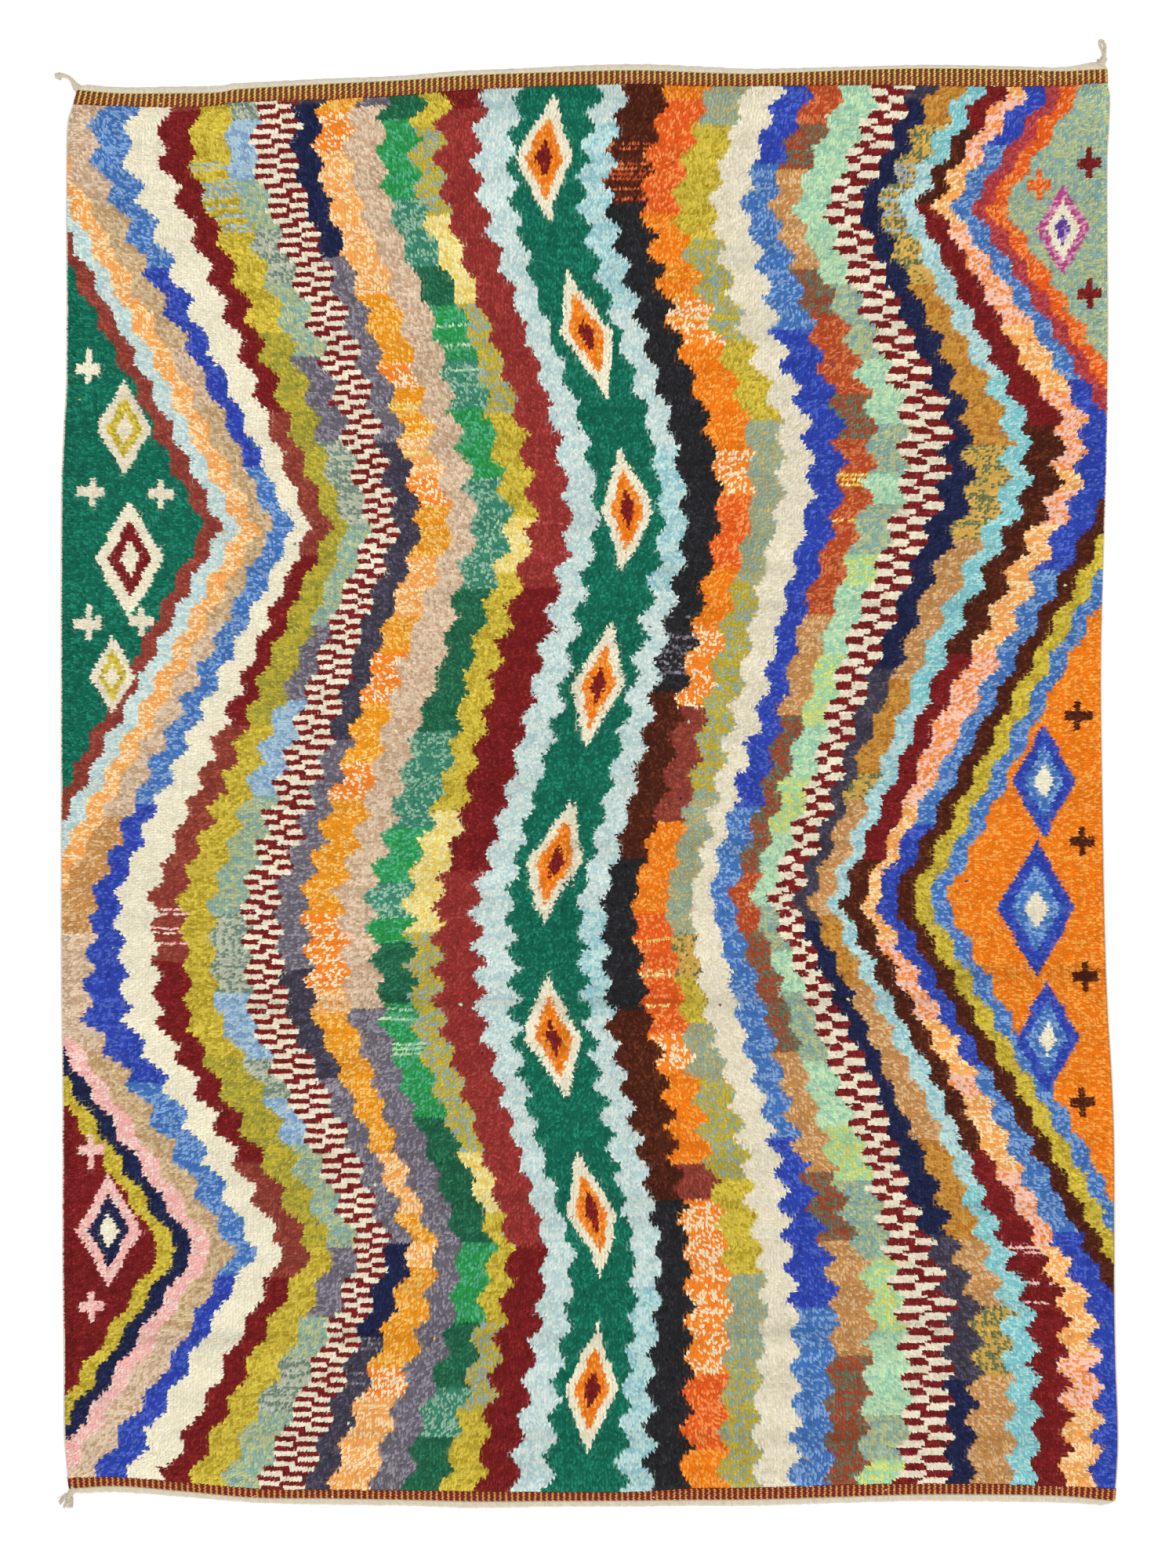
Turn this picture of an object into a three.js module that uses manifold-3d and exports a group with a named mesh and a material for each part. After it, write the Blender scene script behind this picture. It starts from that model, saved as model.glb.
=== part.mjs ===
// A hand-knotted wool pile rug with flat-woven ends, lying flat on the floor, seen as it is unrolled.
// Units are millimetres. +X runs across the rug, +Y up its length and +Z up from the floor.
// The origin is on the floor, under the middle of the rug's bounding box.
// The rug was woven by hand, so its edges wander: each edge is a smooth line through a short table of places.
import * as THREE from "three";
import { mergeVertices } from "three/addons/utils/BufferGeometryUtils.js";
import Module from "manifold-3d";

const wasm = await Module();
wasm.setup();

// Driving dimensions
const PILE_HEIGHT = 18; // floor to the tips of the pile, foundation included
const PILE_EDGE_HEIGHT = 9; // the pile thins and rounds over at its rim
const PILE_ROUNDING = 30; // how far in from the rim the pile reaches its full height
const BAND_THICKNESS = 5; // the two-colour flat weave at each end
const HEADING_THICKNESS = 5; // the plain cream weave outside it
const SELVEDGE_WIDTH = 5; // the overcast cord down each long side
const SELVEDGE_THICKNESS = 7;
const SEAM_GAP = 0.4; // between neighbouring pieces, which touch on the real rug

// How finely the long pieces are divided, and how near the rim their outermost even station lies (0 to 1)
const ACROSS = { steps: 34, rim: 0.01 };
const UP_LENGTH = { steps: 100, rim: 0.007 };
const RIM_EXTRA = 0.3; // one more station, at this share of the way from the rim
const END_ROWS = 5; // rows at each end that the floor face takes together, because the ends wander

// Long edges, outside the selvedge cord: x of the edge at each height y
const LEFT_EDGE = [
  { y: -1839, x: -1357 }, { y: -1728, x: -1366 }, { y: -1544, x: -1367 }, { y: -1257, x: -1370 },
  { y: -847, x: -1370 }, { y: -519, x: -1374 }, { y: 0, x: -1374 }, { y: 691, x: -1374 },
  { y: 855, x: -1369 }, { y: 1039, x: -1360 }, { y: 1593, x: -1360 }, { y: 1706, x: -1356 },
  { y: 1749, x: -1342 },
];
const RIGHT_EDGE = [
  { y: -1867, x: 1384 }, { y: -1831, x: 1387 }, { y: -1728, x: 1391 }, { y: -1544, x: 1385 },
  { y: -1359, x: 1382 }, { y: -990, x: 1381 }, { y: -806, x: 1375 }, { y: -621, x: 1364 },
  { y: -396, x: 1356 }, { y: -68, x: 1350 }, { y: 281, x: 1346 }, { y: 486, x: 1350 },
  { y: 855, x: 1360 }, { y: 1142, x: 1364 }, { y: 1593, x: 1362 }, { y: 1767, x: 1369 },
  { y: 1804, x: 1362 },
];

// Ends: y where the pile stops, then the widths of the two-colour band and of the cream heading outside it
const TOP_END = [
  { x: -1342, pile: 1749, band: 38, heading: 16 }, { x: -1231, pile: 1744, band: 34, heading: 17 },
  { x: -1075, pile: 1741, band: 37, heading: 18 }, { x: -966, pile: 1746, band: 34, heading: 18 },
  { x: -919, pile: 1754, band: 34, heading: 17 }, { x: -690, pile: 1761, band: 41, heading: 14 },
  { x: -468, pile: 1773, band: 40, heading: 13 }, { x: -329, pile: 1785, band: 39, heading: 13 },
  { x: -148, pile: 1794, band: 37, heading: 14 }, { x: 122, pile: 1802, band: 36, heading: 17 },
  { x: 331, pile: 1796, band: 35, heading: 16 }, { x: 434, pile: 1796, band: 33, heading: 14 },
  { x: 733, pile: 1799, band: 41, heading: 9 }, { x: 899, pile: 1797, band: 46, heading: 10 },
  { x: 1118, pile: 1795, band: 45, heading: 9 }, { x: 1246, pile: 1797, band: 39, heading: 11 },
  { x: 1330, pile: 1803, band: 37, heading: 20 }, { x: 1362, pile: 1804, band: 38, heading: 17 },
];
const BOTTOM_END = [
  { x: -1357, pile: -1839, band: 29, heading: 14 }, { x: -1231, pile: -1837, band: 24, heading: 18 },
  { x: -1050, pile: -1851, band: 24, heading: 17 }, { x: -870, pile: -1867, band: 24, heading: 15 },
  { x: -690, pile: -1870, band: 23, heading: 18 }, { x: -468, pile: -1872, band: 25, heading: 17 },
  { x: -298, pile: -1874, band: 27, heading: 19 }, { x: -89, pile: -1876, band: 24, heading: 17 },
  { x: 122, pile: -1876, band: 23, heading: 17 }, { x: 272, pile: -1867, band: 30, heading: 17 },
  { x: 434, pile: -1865, band: 31, heading: 18 }, { x: 670, pile: -1857, band: 32, heading: 18 },
  { x: 862, pile: -1854, band: 29, heading: 19 }, { x: 1053, pile: -1855, band: 28, heading: 20 },
  { x: 1246, pile: -1861, band: 26, heading: 19 }, { x: 1384, pile: -1867, band: 33, heading: 14 },
];
// How far each end's band and heading draw in at the corners, at the left and at the right
const TOP_DRAW_IN = { bandLeft: 10, bandRight: 1, headingLeft: 5, headingRight: 4 };
const BOTTOM_DRAW_IN = { bandLeft: 3, bandRight: 3, headingLeft: 12, headingRight: 14 };
// The heading narrows to this share at a corner, over this distance
const CORNER = { share: 0.45, reach: 22 };

// Fold lines left by storage: soft troughs across the rug at height y, leaning by slope, from one x to another
const FOLDS_ACROSS = [
  { y: 533, slope: -0.01, depth: 2.4, width: 50, from: 200, to: 480 },
  { y: 436, slope: 0.01, depth: 2.4, width: 55, from: 470, to: 1000 },
  { y: -27, slope: 0.005, depth: 1.8, width: 60, from: -1400, to: -250 },
  { y: -186, slope: 0.012, depth: 2.2, width: 55, from: -60, to: 620 },
  { y: -528, slope: 0.01, depth: 3.4, width: 100, from: 1050, to: 1400 },
  { y: -592, slope: 0.008, depth: 3, width: 50, from: -900, to: 900 },
  { y: -1113, slope: -0.015, depth: 2.2, width: 70, from: -300, to: 1400 },
  { y: -1462, slope: 0.01, depth: 2.6, width: 60, from: -1400, to: 900 },
  { y: -1728, slope: -0.005, depth: 2, width: 60, from: -1000, to: 1400 },
];
const FOLD_ALONG = { x: -38, slope: 0.02, depth: 3, width: 55, from: -640, to: 280 };
const FOLD_FADE = 150; // a fold fades out over this distance past its ends
// Low swells in the lie of the rug, and smaller lumps where the pile stands closer
const SWELLS = [
  { height: 1.0, waveX: 830, waveY: 1270, phase: 0.4 },
  { height: 0.6, waveX: 410, waveY: 560, phase: 2.1 },
  { height: 0.4, waveX: 253, waveY: 171, phase: 1.2 },
];

// Corner tails: the warp ends gathered at a corner, as points of their middle line and the radius there
const TAIL_TOP_LEFT = [
  { x: -1328, y: 1790, r: 12 }, { x: -1336, y: 1798, r: 9.5 }, { x: -1342.5, y: 1809, r: 6 },
  { x: -1351.5, y: 1818.5, r: 4.9 }, { x: -1363, y: 1824, r: 5 }, { x: -1375, y: 1824.5, r: 6.6 },
  { x: -1385, y: 1823.5, r: 8.2 }, { x: -1390.58, y: 1823, r: 6.8 },
];
const TAIL_TOP_RIGHT_NECK = [
  { x: 1343, y: 1851, r: 14 }, { x: 1348.5, y: 1860, r: 9.2 }, { x: 1352.5, y: 1872, r: 5.6 },
  { x: 1354, y: 1888, r: 5 },
];
const TAIL_TOP_RIGHT_LOOP = [
  { x: 1354, y: 1880, r: 4 }, { x: 1355.6, y: 1893, r: 4.2 }, { x: 1354.6, y: 1904, r: 4.3 },
  { x: 1350.4, y: 1913.2, r: 4.2 }, { x: 1345, y: 1917.4, r: 4.2 }, { x: 1341, y: 1912, r: 4 },
  { x: 1342.4, y: 1903, r: 3.8 }, { x: 1347.4, y: 1892, r: 3.8 }, { x: 1352, y: 1880, r: 4 },
];
const TAIL_BOTTOM_LEFT_NECK = [
  { x: -1338, y: -1868, r: 13 }, { x: -1346, y: -1877, r: 8.6 }, { x: -1352.5, y: -1887, r: 7 },
  { x: -1358, y: -1896, r: 9 },
];
const TASSEL = { strands: 9, width: 14, length: 36, headingDegrees: -114, spreadDegrees: 78, bow: 28 };
const TASSEL_SHORTER = { outside: 0.55, everyOther: 0.05 }; // by how much of the length
const TASSEL_STRAND = { rootRadius: 3.6, tipRadius: 2.5 };
// A tail's twist: lobes round its section, their depth as a share of the radius, and the length of one turn
const TAIL_TWIST = { lobes: 3, depth: 0.16, lay: 26 };
const LOOP_TWIST = { lobes: 2, depth: 0.12, lay: 18 };
const NO_TWIST = { lobes: 2, depth: 0, lay: 100 };
const TAIL_FLATNESS = 0.75; // half its height over half its width, for a thin tail
const TAIL_RISE = 4.2; // half the height of a thick one
const TAIL_SEAT = 0.9; // its middle line's height over half its height, so that it lies flat below

// Smooth lines
const lerp = (a, b, t) => a + (b - a) * t;
const smooth = (t) => {
  const s = THREE.MathUtils.clamp(t, 0, 1);
  return s * s * (3 - 2 * s);
};

// A smooth line through a table: key is the column it runs along and value the column it gives.
// Between two rows it is a cubic whose slope at each row is that of the chord between the row's neighbours.
function lineThrough(table, key, value) {
  const at = table.map((row) => row[key]);
  const lie = table.map((row) => row[value]);
  const last = at.length - 1;
  const slope = at.map((_, i) => {
    const a = Math.max(i - 1, 0);
    const b = Math.min(i + 1, last);
    return (lie[b] - lie[a]) / (at[b] - at[a]);
  });
  return (p) => {
    if (p <= at[0]) return lie[0];
    if (p >= at[last]) return lie[last];
    const i = at.findIndex((a) => a > p) - 1;
    const h = at[i + 1] - at[i];
    const t = (p - at[i]) / h;
    const s = smooth(t);
    const bulge = h * t * (1 - t);
    return lerp(lie[i], lie[i + 1], s) + bulge * ((1 - t) * slope[i] - t * slope[i + 1]);
  };
}

const leftEdge = lineThrough(LEFT_EDGE, "y", "x");
const rightEdge = lineThrough(RIGHT_EDGE, "y", "x");
const topPile = lineThrough(TOP_END, "x", "pile");
const bottomPile = lineThrough(BOTTOM_END, "x", "pile");

// A point of the pile: u runs from its left rim to its right rim, v from its bottom end to its top end
function pilePoint(u, v) {
  const acrossBottom = lerp(BOTTOM_END[0].x, BOTTOM_END.at(-1).x, u);
  const acrossTop = lerp(TOP_END[0].x, TOP_END.at(-1).x, u);
  const y = lerp(bottomPile(acrossBottom), topPile(acrossTop), v);
  const rim = SELVEDGE_WIDTH + SEAM_GAP;
  return { x: lerp(leftEdge(y) + rim, rightEdge(y) - rim, u), y };
}

// Height of the pile over the floor: full in the middle, thinner at the rim, lower along the fold lines
function pileHeight(x, y, u, v) {
  const width = rightEdge(y) - leftEdge(y);
  const length = topPile(x) - bottomPile(x);
  const fromRim = Math.min(u * width, (1 - u) * width, v * length, (1 - v) * length);
  const rounding = Math.sin((Math.PI / 2) * Math.min(fromRim / PILE_ROUNDING, 1));
  let z = lerp(PILE_EDGE_HEIGHT, PILE_HEIGHT, rounding);
  for (const s of SWELLS) {
    z += s.height * Math.sin((2 * Math.PI * x) / s.waveX + s.phase) * Math.cos((2 * Math.PI * y) / s.waveY);
  }
  for (const f of FOLDS_ACROSS) {
    const reach = smooth((x - f.from) / FOLD_FADE + 1) * smooth((f.to - x) / FOLD_FADE + 1);
    const off = (y - f.y - f.slope * x) / (f.width / 2);
    z -= f.depth * reach * Math.exp(-off * off);
  }
  const f = FOLD_ALONG;
  const reach = smooth((y - f.from) / FOLD_FADE + 1) * smooth((f.to - y) / FOLD_FADE + 1);
  const off = (x - f.x - f.slope * y) / (f.width / 2);
  return z - f.depth * reach * Math.exp(-off * off);
}

// Meshes
function geometryOf(points, triangles) {
  const geometry = new THREE.BufferGeometry();
  geometry.setAttribute("position", new THREE.Float32BufferAttribute(points.flat(), 3));
  geometry.setIndex(triangles.flat());
  geometry.computeVertexNormals();
  return geometry;
}

// Stations crowd towards both ends of 0 to 1, so that the rounded rim gets enough of them
function rimStations({ steps, rim }) {
  const inner = Array.from({ length: steps + 1 }, (_, i) => lerp(rim, 1 - rim, i / steps));
  return [0, rim * RIM_EXTRA, ...inner, 1 - rim * RIM_EXTRA, 1];
}

// A slab with a grid of heights on top and one flat face below
function slab(us, vs, point, height) {
  const columns = us.length;
  const rows = vs.length;
  const top = vs.flatMap((v) =>
    us.map((u) => {
      const { x, y } = point(u, v);
      return [x, y, height(x, y, u, v)];
    }),
  );
  const id = (i, j) => j * columns + i;
  const triangles = [];
  for (let j = 0; j < rows - 1; j++) {
    for (let i = 0; i < columns - 1; i++) {
      triangles.push([id(i, j), id(i + 1, j), id(i + 1, j + 1)], [id(i, j), id(i + 1, j + 1), id(i, j + 1)]);
    }
  }
  const rim = [];
  for (let i = 0; i < columns - 1; i++) rim.push(id(i, 0));
  for (let j = 0; j < rows - 1; j++) rim.push(id(columns - 1, j));
  for (let i = columns - 1; i > 0; i--) rim.push(id(i, rows - 1));
  for (let j = rows - 1; j > 0; j--) rim.push(id(0, j));
  const floor = rim.map((r) => [top[r][0], top[r][1], 0]);
  const below = new Map(rim.map((r, k) => [r, top.length + k]));
  rim.forEach((r, k) => {
    const next = rim[(k + 1) % rim.length];
    triangles.push([r, below.get(r), below.get(next)], [r, below.get(next), next]);
  });

  // The part of the floor face from row a to row b, as the rim's points round it
  const partOfFloor = (a, b) => {
    const isEnd = (j) => j === 0 || j === rows - 1;
    const row = (j) => (isEnd(j) ? us.map((_, i) => id(i, j)) : [id(0, j), id(columns - 1, j)]);
    const between = Array.from({ length: b - a - 1 }, (_, k) => a + 1 + k);
    const right = between.map((j) => id(columns - 1, j));
    const left = between.map((j) => id(0, j)).reverse();
    return [...row(a), ...right, ...row(b).reverse(), ...left];
  };
  const inner = Array.from({ length: rows - 2 * END_ROWS }, (_, k) => END_ROWS + k);
  const cuts = [0, ...inner, rows - 1];
  for (let k = 0; k < cuts.length - 1; k++) {
    const part = partOfFloor(cuts[k], cuts[k + 1]);
    const outline = part.map((r) => new THREE.Vector2(top[r][0], top[r][1]));
    for (const face of THREE.ShapeUtils.triangulateShape(outline, [])) {
      triangles.push(face.map((corner) => below.get(part[corner])).reverse());
    }
  }
  return geometryOf([...top, ...floor], triangles);
}

// A solid through rings of equal count, each run the same way round, closed with a fan at both ends
function loft(rings) {
  const count = rings[0].length;
  const points = rings.flat();
  const triangles = [];
  for (let j = 0; j < rings.length - 1; j++) {
    for (let i = 0; i < count; i++) {
      const a = j * count + i;
      const b = j * count + ((i + 1) % count);
      triangles.push([a, b, b + count], [a, b + count, a + count]);
    }
  }
  const end = (rings.length - 1) * count;
  for (let i = 1; i < count - 1; i++) {
    triangles.push([0, i + 1, i], [end, end + i, end + i + 1]);
  }
  return geometryOf(points, triangles);
}

// A flat strip with softened top edges between an inner and an outer line of points
function strip(inner, outer, thickness) {
  const section = [[0, 0], [1, 0], [1, 0.6], [0.8, 1], [0.2, 1], [0, 0.6]];
  return inner.map((a, k) => {
    const b = outer[k];
    return section.map(([side, rise]) => [lerp(a.x, b.x, side), lerp(a.y, b.y, side), rise * thickness]);
  });
}

// The room that a strip needs: wider than it by the seam gap all round, and higher than any tail
function clearance(inner, outer) {
  const top = 4 * TAIL_RISE;
  const underFloor = -1;
  const last = inner.length - 1;
  return inner.map((a, k) => {
    const b = outer[k];
    const wider = SEAM_GAP / Math.hypot(b.x - a.x, b.y - a.y);
    const beyond = { 0: -SEAM_GAP, [last]: SEAM_GAP }[k] ?? 0;
    const at = (side, z) => [lerp(a.x, b.x, side) + beyond, lerp(a.y, b.y, side), z];
    return [at(-wider, underFloor), at(1 + wider, underFloor), at(1 + wider, top), at(-wider, top)];
  });
}

// The volume that the faces close in, negative where they face inwards
function volumeOf(geometry) {
  const place = geometry.getAttribute("position");
  const corner = (i) => new THREE.Vector3().fromBufferAttribute(place, geometry.index.getX(i));
  let volume = 0;
  for (let i = 0; i < geometry.index.count; i += 3) {
    volume += corner(i).dot(corner(i + 1).cross(corner(i + 2))) / 6;
  }
  return volume;
}

function facingOut(geometry) {
  if (volumeOf(geometry) < 0) {
    geometry.index.array.reverse();
    geometry.computeVertexNormals();
  }
  return geometry;
}

// Tails are joined from their strands and cut back from the heading as closed solids
function solidOf(geometry) {
  const bare = geometry.clone();
  bare.deleteAttribute("normal");
  const merged = mergeVertices(bare, 1e-4);
  const vertProperties = merged.attributes.position.array;
  const triVerts = new Uint32Array(merged.index.array);
  return new wasm.Manifold(new wasm.Mesh({ numProp: 3, vertProperties, triVerts }));
}

function geometryOfSolid(solid) {
  const mesh = solid.getMesh();
  const geometry = new THREE.BufferGeometry();
  geometry.setAttribute("position", new THREE.BufferAttribute(new Float32Array(mesh.vertProperties), 3));
  geometry.setIndex(new THREE.BufferAttribute(new Uint32Array(mesh.triVerts), 1));
  geometry.computeVertexNormals();
  return geometry;
}

// End strips: lines of points at the same stations as the pile's end row, so that the seam stays even
const across = rimStations(ACROSS);
const upLength = rimStations(UP_LENGTH);

function endLines(table, drawIn, v, outward) {
  const band = lineThrough(table, "x", "band");
  const heading = lineThrough(table, "x", "heading");
  const first = table[0].x;
  const last = table.at(-1).x;
  const line = (left, right, offset) =>
    across.map((u) => {
      const seam = pilePoint(u, v);
      const atRim = { 0: first, 1: last }[u] ?? seam.x;
      return { x: atRim + left * (1 - u) - right * u, y: seam.y + outward * offset(seam.x) };
    });
  const narrowing = (x) => {
    const fromCorner = Math.min(x - first, last - x) / CORNER.reach;
    return lerp(CORNER.share, 1, Math.sqrt(THREE.MathUtils.clamp(fromCorner, 0, 1)));
  };
  const headingLeft = drawIn.bandLeft + drawIn.headingLeft;
  const headingRight = drawIn.bandRight + drawIn.headingRight;
  return {
    pile: line(0, 0, () => SEAM_GAP),
    bandEdge: line(drawIn.bandLeft, drawIn.bandRight, (x) => band(x)),
    headingStart: line(drawIn.bandLeft, drawIn.bandRight, (x) => band(x) + SEAM_GAP),
    outer: line(headingLeft, headingRight, (x) => band(x) + SEAM_GAP + heading(x) * narrowing(x)),
  };
}

const topEnd = endLines(TOP_END, TOP_DRAW_IN, 1, 1);
const bottomEnd = endLines(BOTTOM_END, BOTTOM_DRAW_IN, 0, -1);

// A selvedge cord runs beside the pile from its bottom end to its top end
function selvedge(side) {
  const edge = side === "left" ? leftEdge : rightEdge;
  const inward = side === "left" ? 1 : -1;
  const u = side === "left" ? 0 : 1;
  const ys = upLength.map((v) => pilePoint(u, v).y);
  const outer = ys.map((y) => ({ x: edge(y), y }));
  const inner = ys.map((y) => ({ x: edge(y) + inward * SELVEDGE_WIDTH, y }));
  return facingOut(loft(strip(inner, outer, SELVEDGE_THICKNESS)));
}

// A twisted tail along a table of points: its section has lobes that turn as it goes, and it lies on the floor
function tail(table, { sides = 9, steps = 22, twist = TAIL_TWIST } = {}) {
  const curve = new THREE.CatmullRomCurve3(table.map((p) => new THREE.Vector3(p.x, p.y, p.r)));
  const length = curve.getLength();
  const rings = [];
  for (let k = 0; k <= steps; k++) {
    const t = k / steps;
    const centre = curve.getPoint(t);
    const way = curve.getTangent(t);
    const sideways = new THREE.Vector3(-way.y, way.x, 0).normalize();
    const turn = (2 * Math.PI * t * length) / twist.lay;
    const rise = Math.min(centre.z * TAIL_FLATNESS, TAIL_RISE);
    const ring = [];
    for (let i = 0; i < sides; i++) {
      const angle = (2 * Math.PI * i) / sides;
      const lobe = 1 - twist.depth + twist.depth * Math.cos(twist.lobes * angle + turn);
      const out = centre.z * lobe * Math.cos(angle);
      const up = Math.max(rise * (TAIL_SEAT + lobe * Math.sin(angle)), 0);
      ring.push([centre.x + sideways.x * out, centre.y + sideways.y * out, up]);
    }
    rings.push(ring);
  }
  return facingOut(loft(rings));
}

// A tapered strand of four sides, from a root on the floor outwards
function strand(root, degrees, length, bow, { rootRadius, tipRadius }) {
  const angle = THREE.MathUtils.degToRad(degrees);
  const table = [0, 0.35, 0.7, 1].map((t) => ({
    x: root.x + length * t * Math.cos(angle) - bow * t * t * Math.sin(angle),
    y: root.y + length * t * Math.sin(angle) + bow * t * t * Math.cos(angle),
    r: lerp(rootRadius, tipRadius, t),
  }));
  return tail(table, { sides: 4, steps: 5, twist: NO_TWIST });
}

// Pieces of the rug
function pileField() {
  return facingOut(slab(across, upLength, pilePoint, pileHeight));
}

function endBand(end) {
  return facingOut(loft(strip(end.pile, end.bandEdge, BAND_THICKNESS)));
}

function heading(end) {
  return facingOut(loft(strip(end.headingStart, end.outer, HEADING_THICKNESS)));
}

// A tail starts outside the heading and the band at its corner, at the seam gap from them
function cutAtCorner(solid, end) {
  const nearBand = facingOut(loft(clearance(end.pile, end.bandEdge)));
  const nearHeading = facingOut(loft(clearance(end.headingStart, end.outer)));
  const rest = solid.subtract(solidOf(nearBand)).subtract(solidOf(nearHeading));
  const bodies = rest.decompose();
  bodies.sort((a, b) => b.volume() - a.volume());
  return geometryOfSolid(bodies[0]);
}

function plainTail() {
  return cutAtCorner(solidOf(tail(TAIL_TOP_LEFT)), topEnd);
}

function loopedTail() {
  const neck = solidOf(tail(TAIL_TOP_RIGHT_NECK, { steps: 14 }));
  const loop = solidOf(tail(TAIL_TOP_RIGHT_LOOP, { sides: 7, steps: 24, twist: LOOP_TWIST }));
  return cutAtCorner(neck.add(loop), topEnd);
}

function tasselTail() {
  let solid = solidOf(tail(TAIL_BOTTOM_LEFT_NECK, { steps: 10 }));
  const end = TAIL_BOTTOM_LEFT_NECK.at(-2);
  const aside = THREE.MathUtils.degToRad(TASSEL.headingDegrees + 90);
  for (let i = 0; i < TASSEL.strands; i++) {
    const share = i / (TASSEL.strands - 1) - 0.5;
    const degrees = TASSEL.headingDegrees + share * TASSEL.spreadDegrees;
    const off = share * TASSEL.width;
    const root = { x: end.x + off * Math.cos(aside), y: end.y + off * Math.sin(aside) };
    const shorter = TASSEL_SHORTER.outside * Math.abs(share) + TASSEL_SHORTER.everyOther * (i % 2);
    const length = TASSEL.length * (1 - shorter);
    solid = solid.add(solidOf(strand(root, degrees, length, -TASSEL.bow * share, TASSEL_STRAND)));
  }
  return cutAtCorner(solid, bottomEnd);
}

// Materials, in the rug's own wools
const wool = (color) => new THREE.MeshStandardMaterial({ color, roughness: 0.95, metalness: 0 });
const pileWool = wool("#b07a48");
const topBandWool = wool("#96552c");
const bottomBandWool = wool("#9a4428");
const creamWool = wool("#d8d0bb");

const rug = new THREE.Group();
rug.name = "rug";

function add(name, geometry, material) {
  const mesh = new THREE.Mesh(geometry, material);
  mesh.name = name;
  rug.add(mesh);
}

add("pile_field", pileField(), pileWool);
add("end_band_top", endBand(topEnd), topBandWool);
add("end_band_bottom", endBand(bottomEnd), bottomBandWool);
add("heading_top", heading(topEnd), creamWool);
add("heading_bottom", heading(bottomEnd), creamWool);
add("selvedge_left", selvedge("left"), creamWool);
add("selvedge_right", selvedge("right"), creamWool);
add("tail_top_left", plainTail(), creamWool);
add("tail_top_right", loopedTail(), creamWool);
add("tail_bottom_left", tasselTail(), creamWool);

export default rug;
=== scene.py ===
import math

import bpy
import numpy as np
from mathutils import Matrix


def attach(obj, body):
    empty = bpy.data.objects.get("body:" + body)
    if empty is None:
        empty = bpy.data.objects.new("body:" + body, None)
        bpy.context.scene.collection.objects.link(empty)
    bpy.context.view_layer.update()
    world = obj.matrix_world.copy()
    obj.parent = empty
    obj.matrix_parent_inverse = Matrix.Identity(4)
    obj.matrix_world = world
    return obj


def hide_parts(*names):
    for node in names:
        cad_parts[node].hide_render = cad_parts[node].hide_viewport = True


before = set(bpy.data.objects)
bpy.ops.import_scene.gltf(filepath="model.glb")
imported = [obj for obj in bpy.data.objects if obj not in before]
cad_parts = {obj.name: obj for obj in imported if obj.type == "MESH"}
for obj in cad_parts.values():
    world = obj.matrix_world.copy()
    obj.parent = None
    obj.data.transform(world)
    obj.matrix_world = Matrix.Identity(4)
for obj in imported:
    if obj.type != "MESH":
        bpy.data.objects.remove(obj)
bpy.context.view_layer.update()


# Camera
# The rug is photographed lying on a white floor from straight above, with a longish lens.
# The frame takes in the whole rug with a hand's width of floor round it.
FRAME_HEIGHT = 4.1
FRAME_CENTRE = (0.0033, -0.0267)
LENS_MM = 85.0
SENSOR_MM = 36.0
FARTHEST_SEEN = 50.0

lens = bpy.data.cameras.new("above")
lens.lens = LENS_MM
lens.sensor_width = SENSOR_MM
lens.clip_end = FARTHEST_SEEN
camera = bpy.data.objects.new("above", lens)
camera.location = (*FRAME_CENTRE, FRAME_HEIGHT / 2 * LENS_MM / (SENSOR_MM / 2))
bpy.context.scene.collection.objects.link(camera)
bpy.context.scene.camera = camera


# Pile: its woven outline
# The loom's warps and the weaver's hand set the outline: both long edges and both ends wander by
# a few centimetres. These are the places that the solids are woven through, in millimetres.
LEFT_EDGE = {
    "y": [-1839, -1728, -1544, -1257, -847, -519, 0, 691, 855, 1039, 1593, 1706, 1749],
    "x": [-1357, -1366, -1367, -1370, -1370, -1374, -1374, -1374, -1369, -1360, -1360, -1356, -1342],
}
RIGHT_EDGE = {
    "y": [
        -1867, -1831, -1728, -1544, -1359, -990, -806, -621, -396,
        -68, 281, 486, 855, 1142, 1593, 1767, 1804,
    ],
    "x": [
        1384, 1387, 1391, 1385, 1382, 1381, 1375, 1364, 1356,
        1350, 1346, 1350, 1360, 1364, 1362, 1369, 1362,
    ],
}
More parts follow.
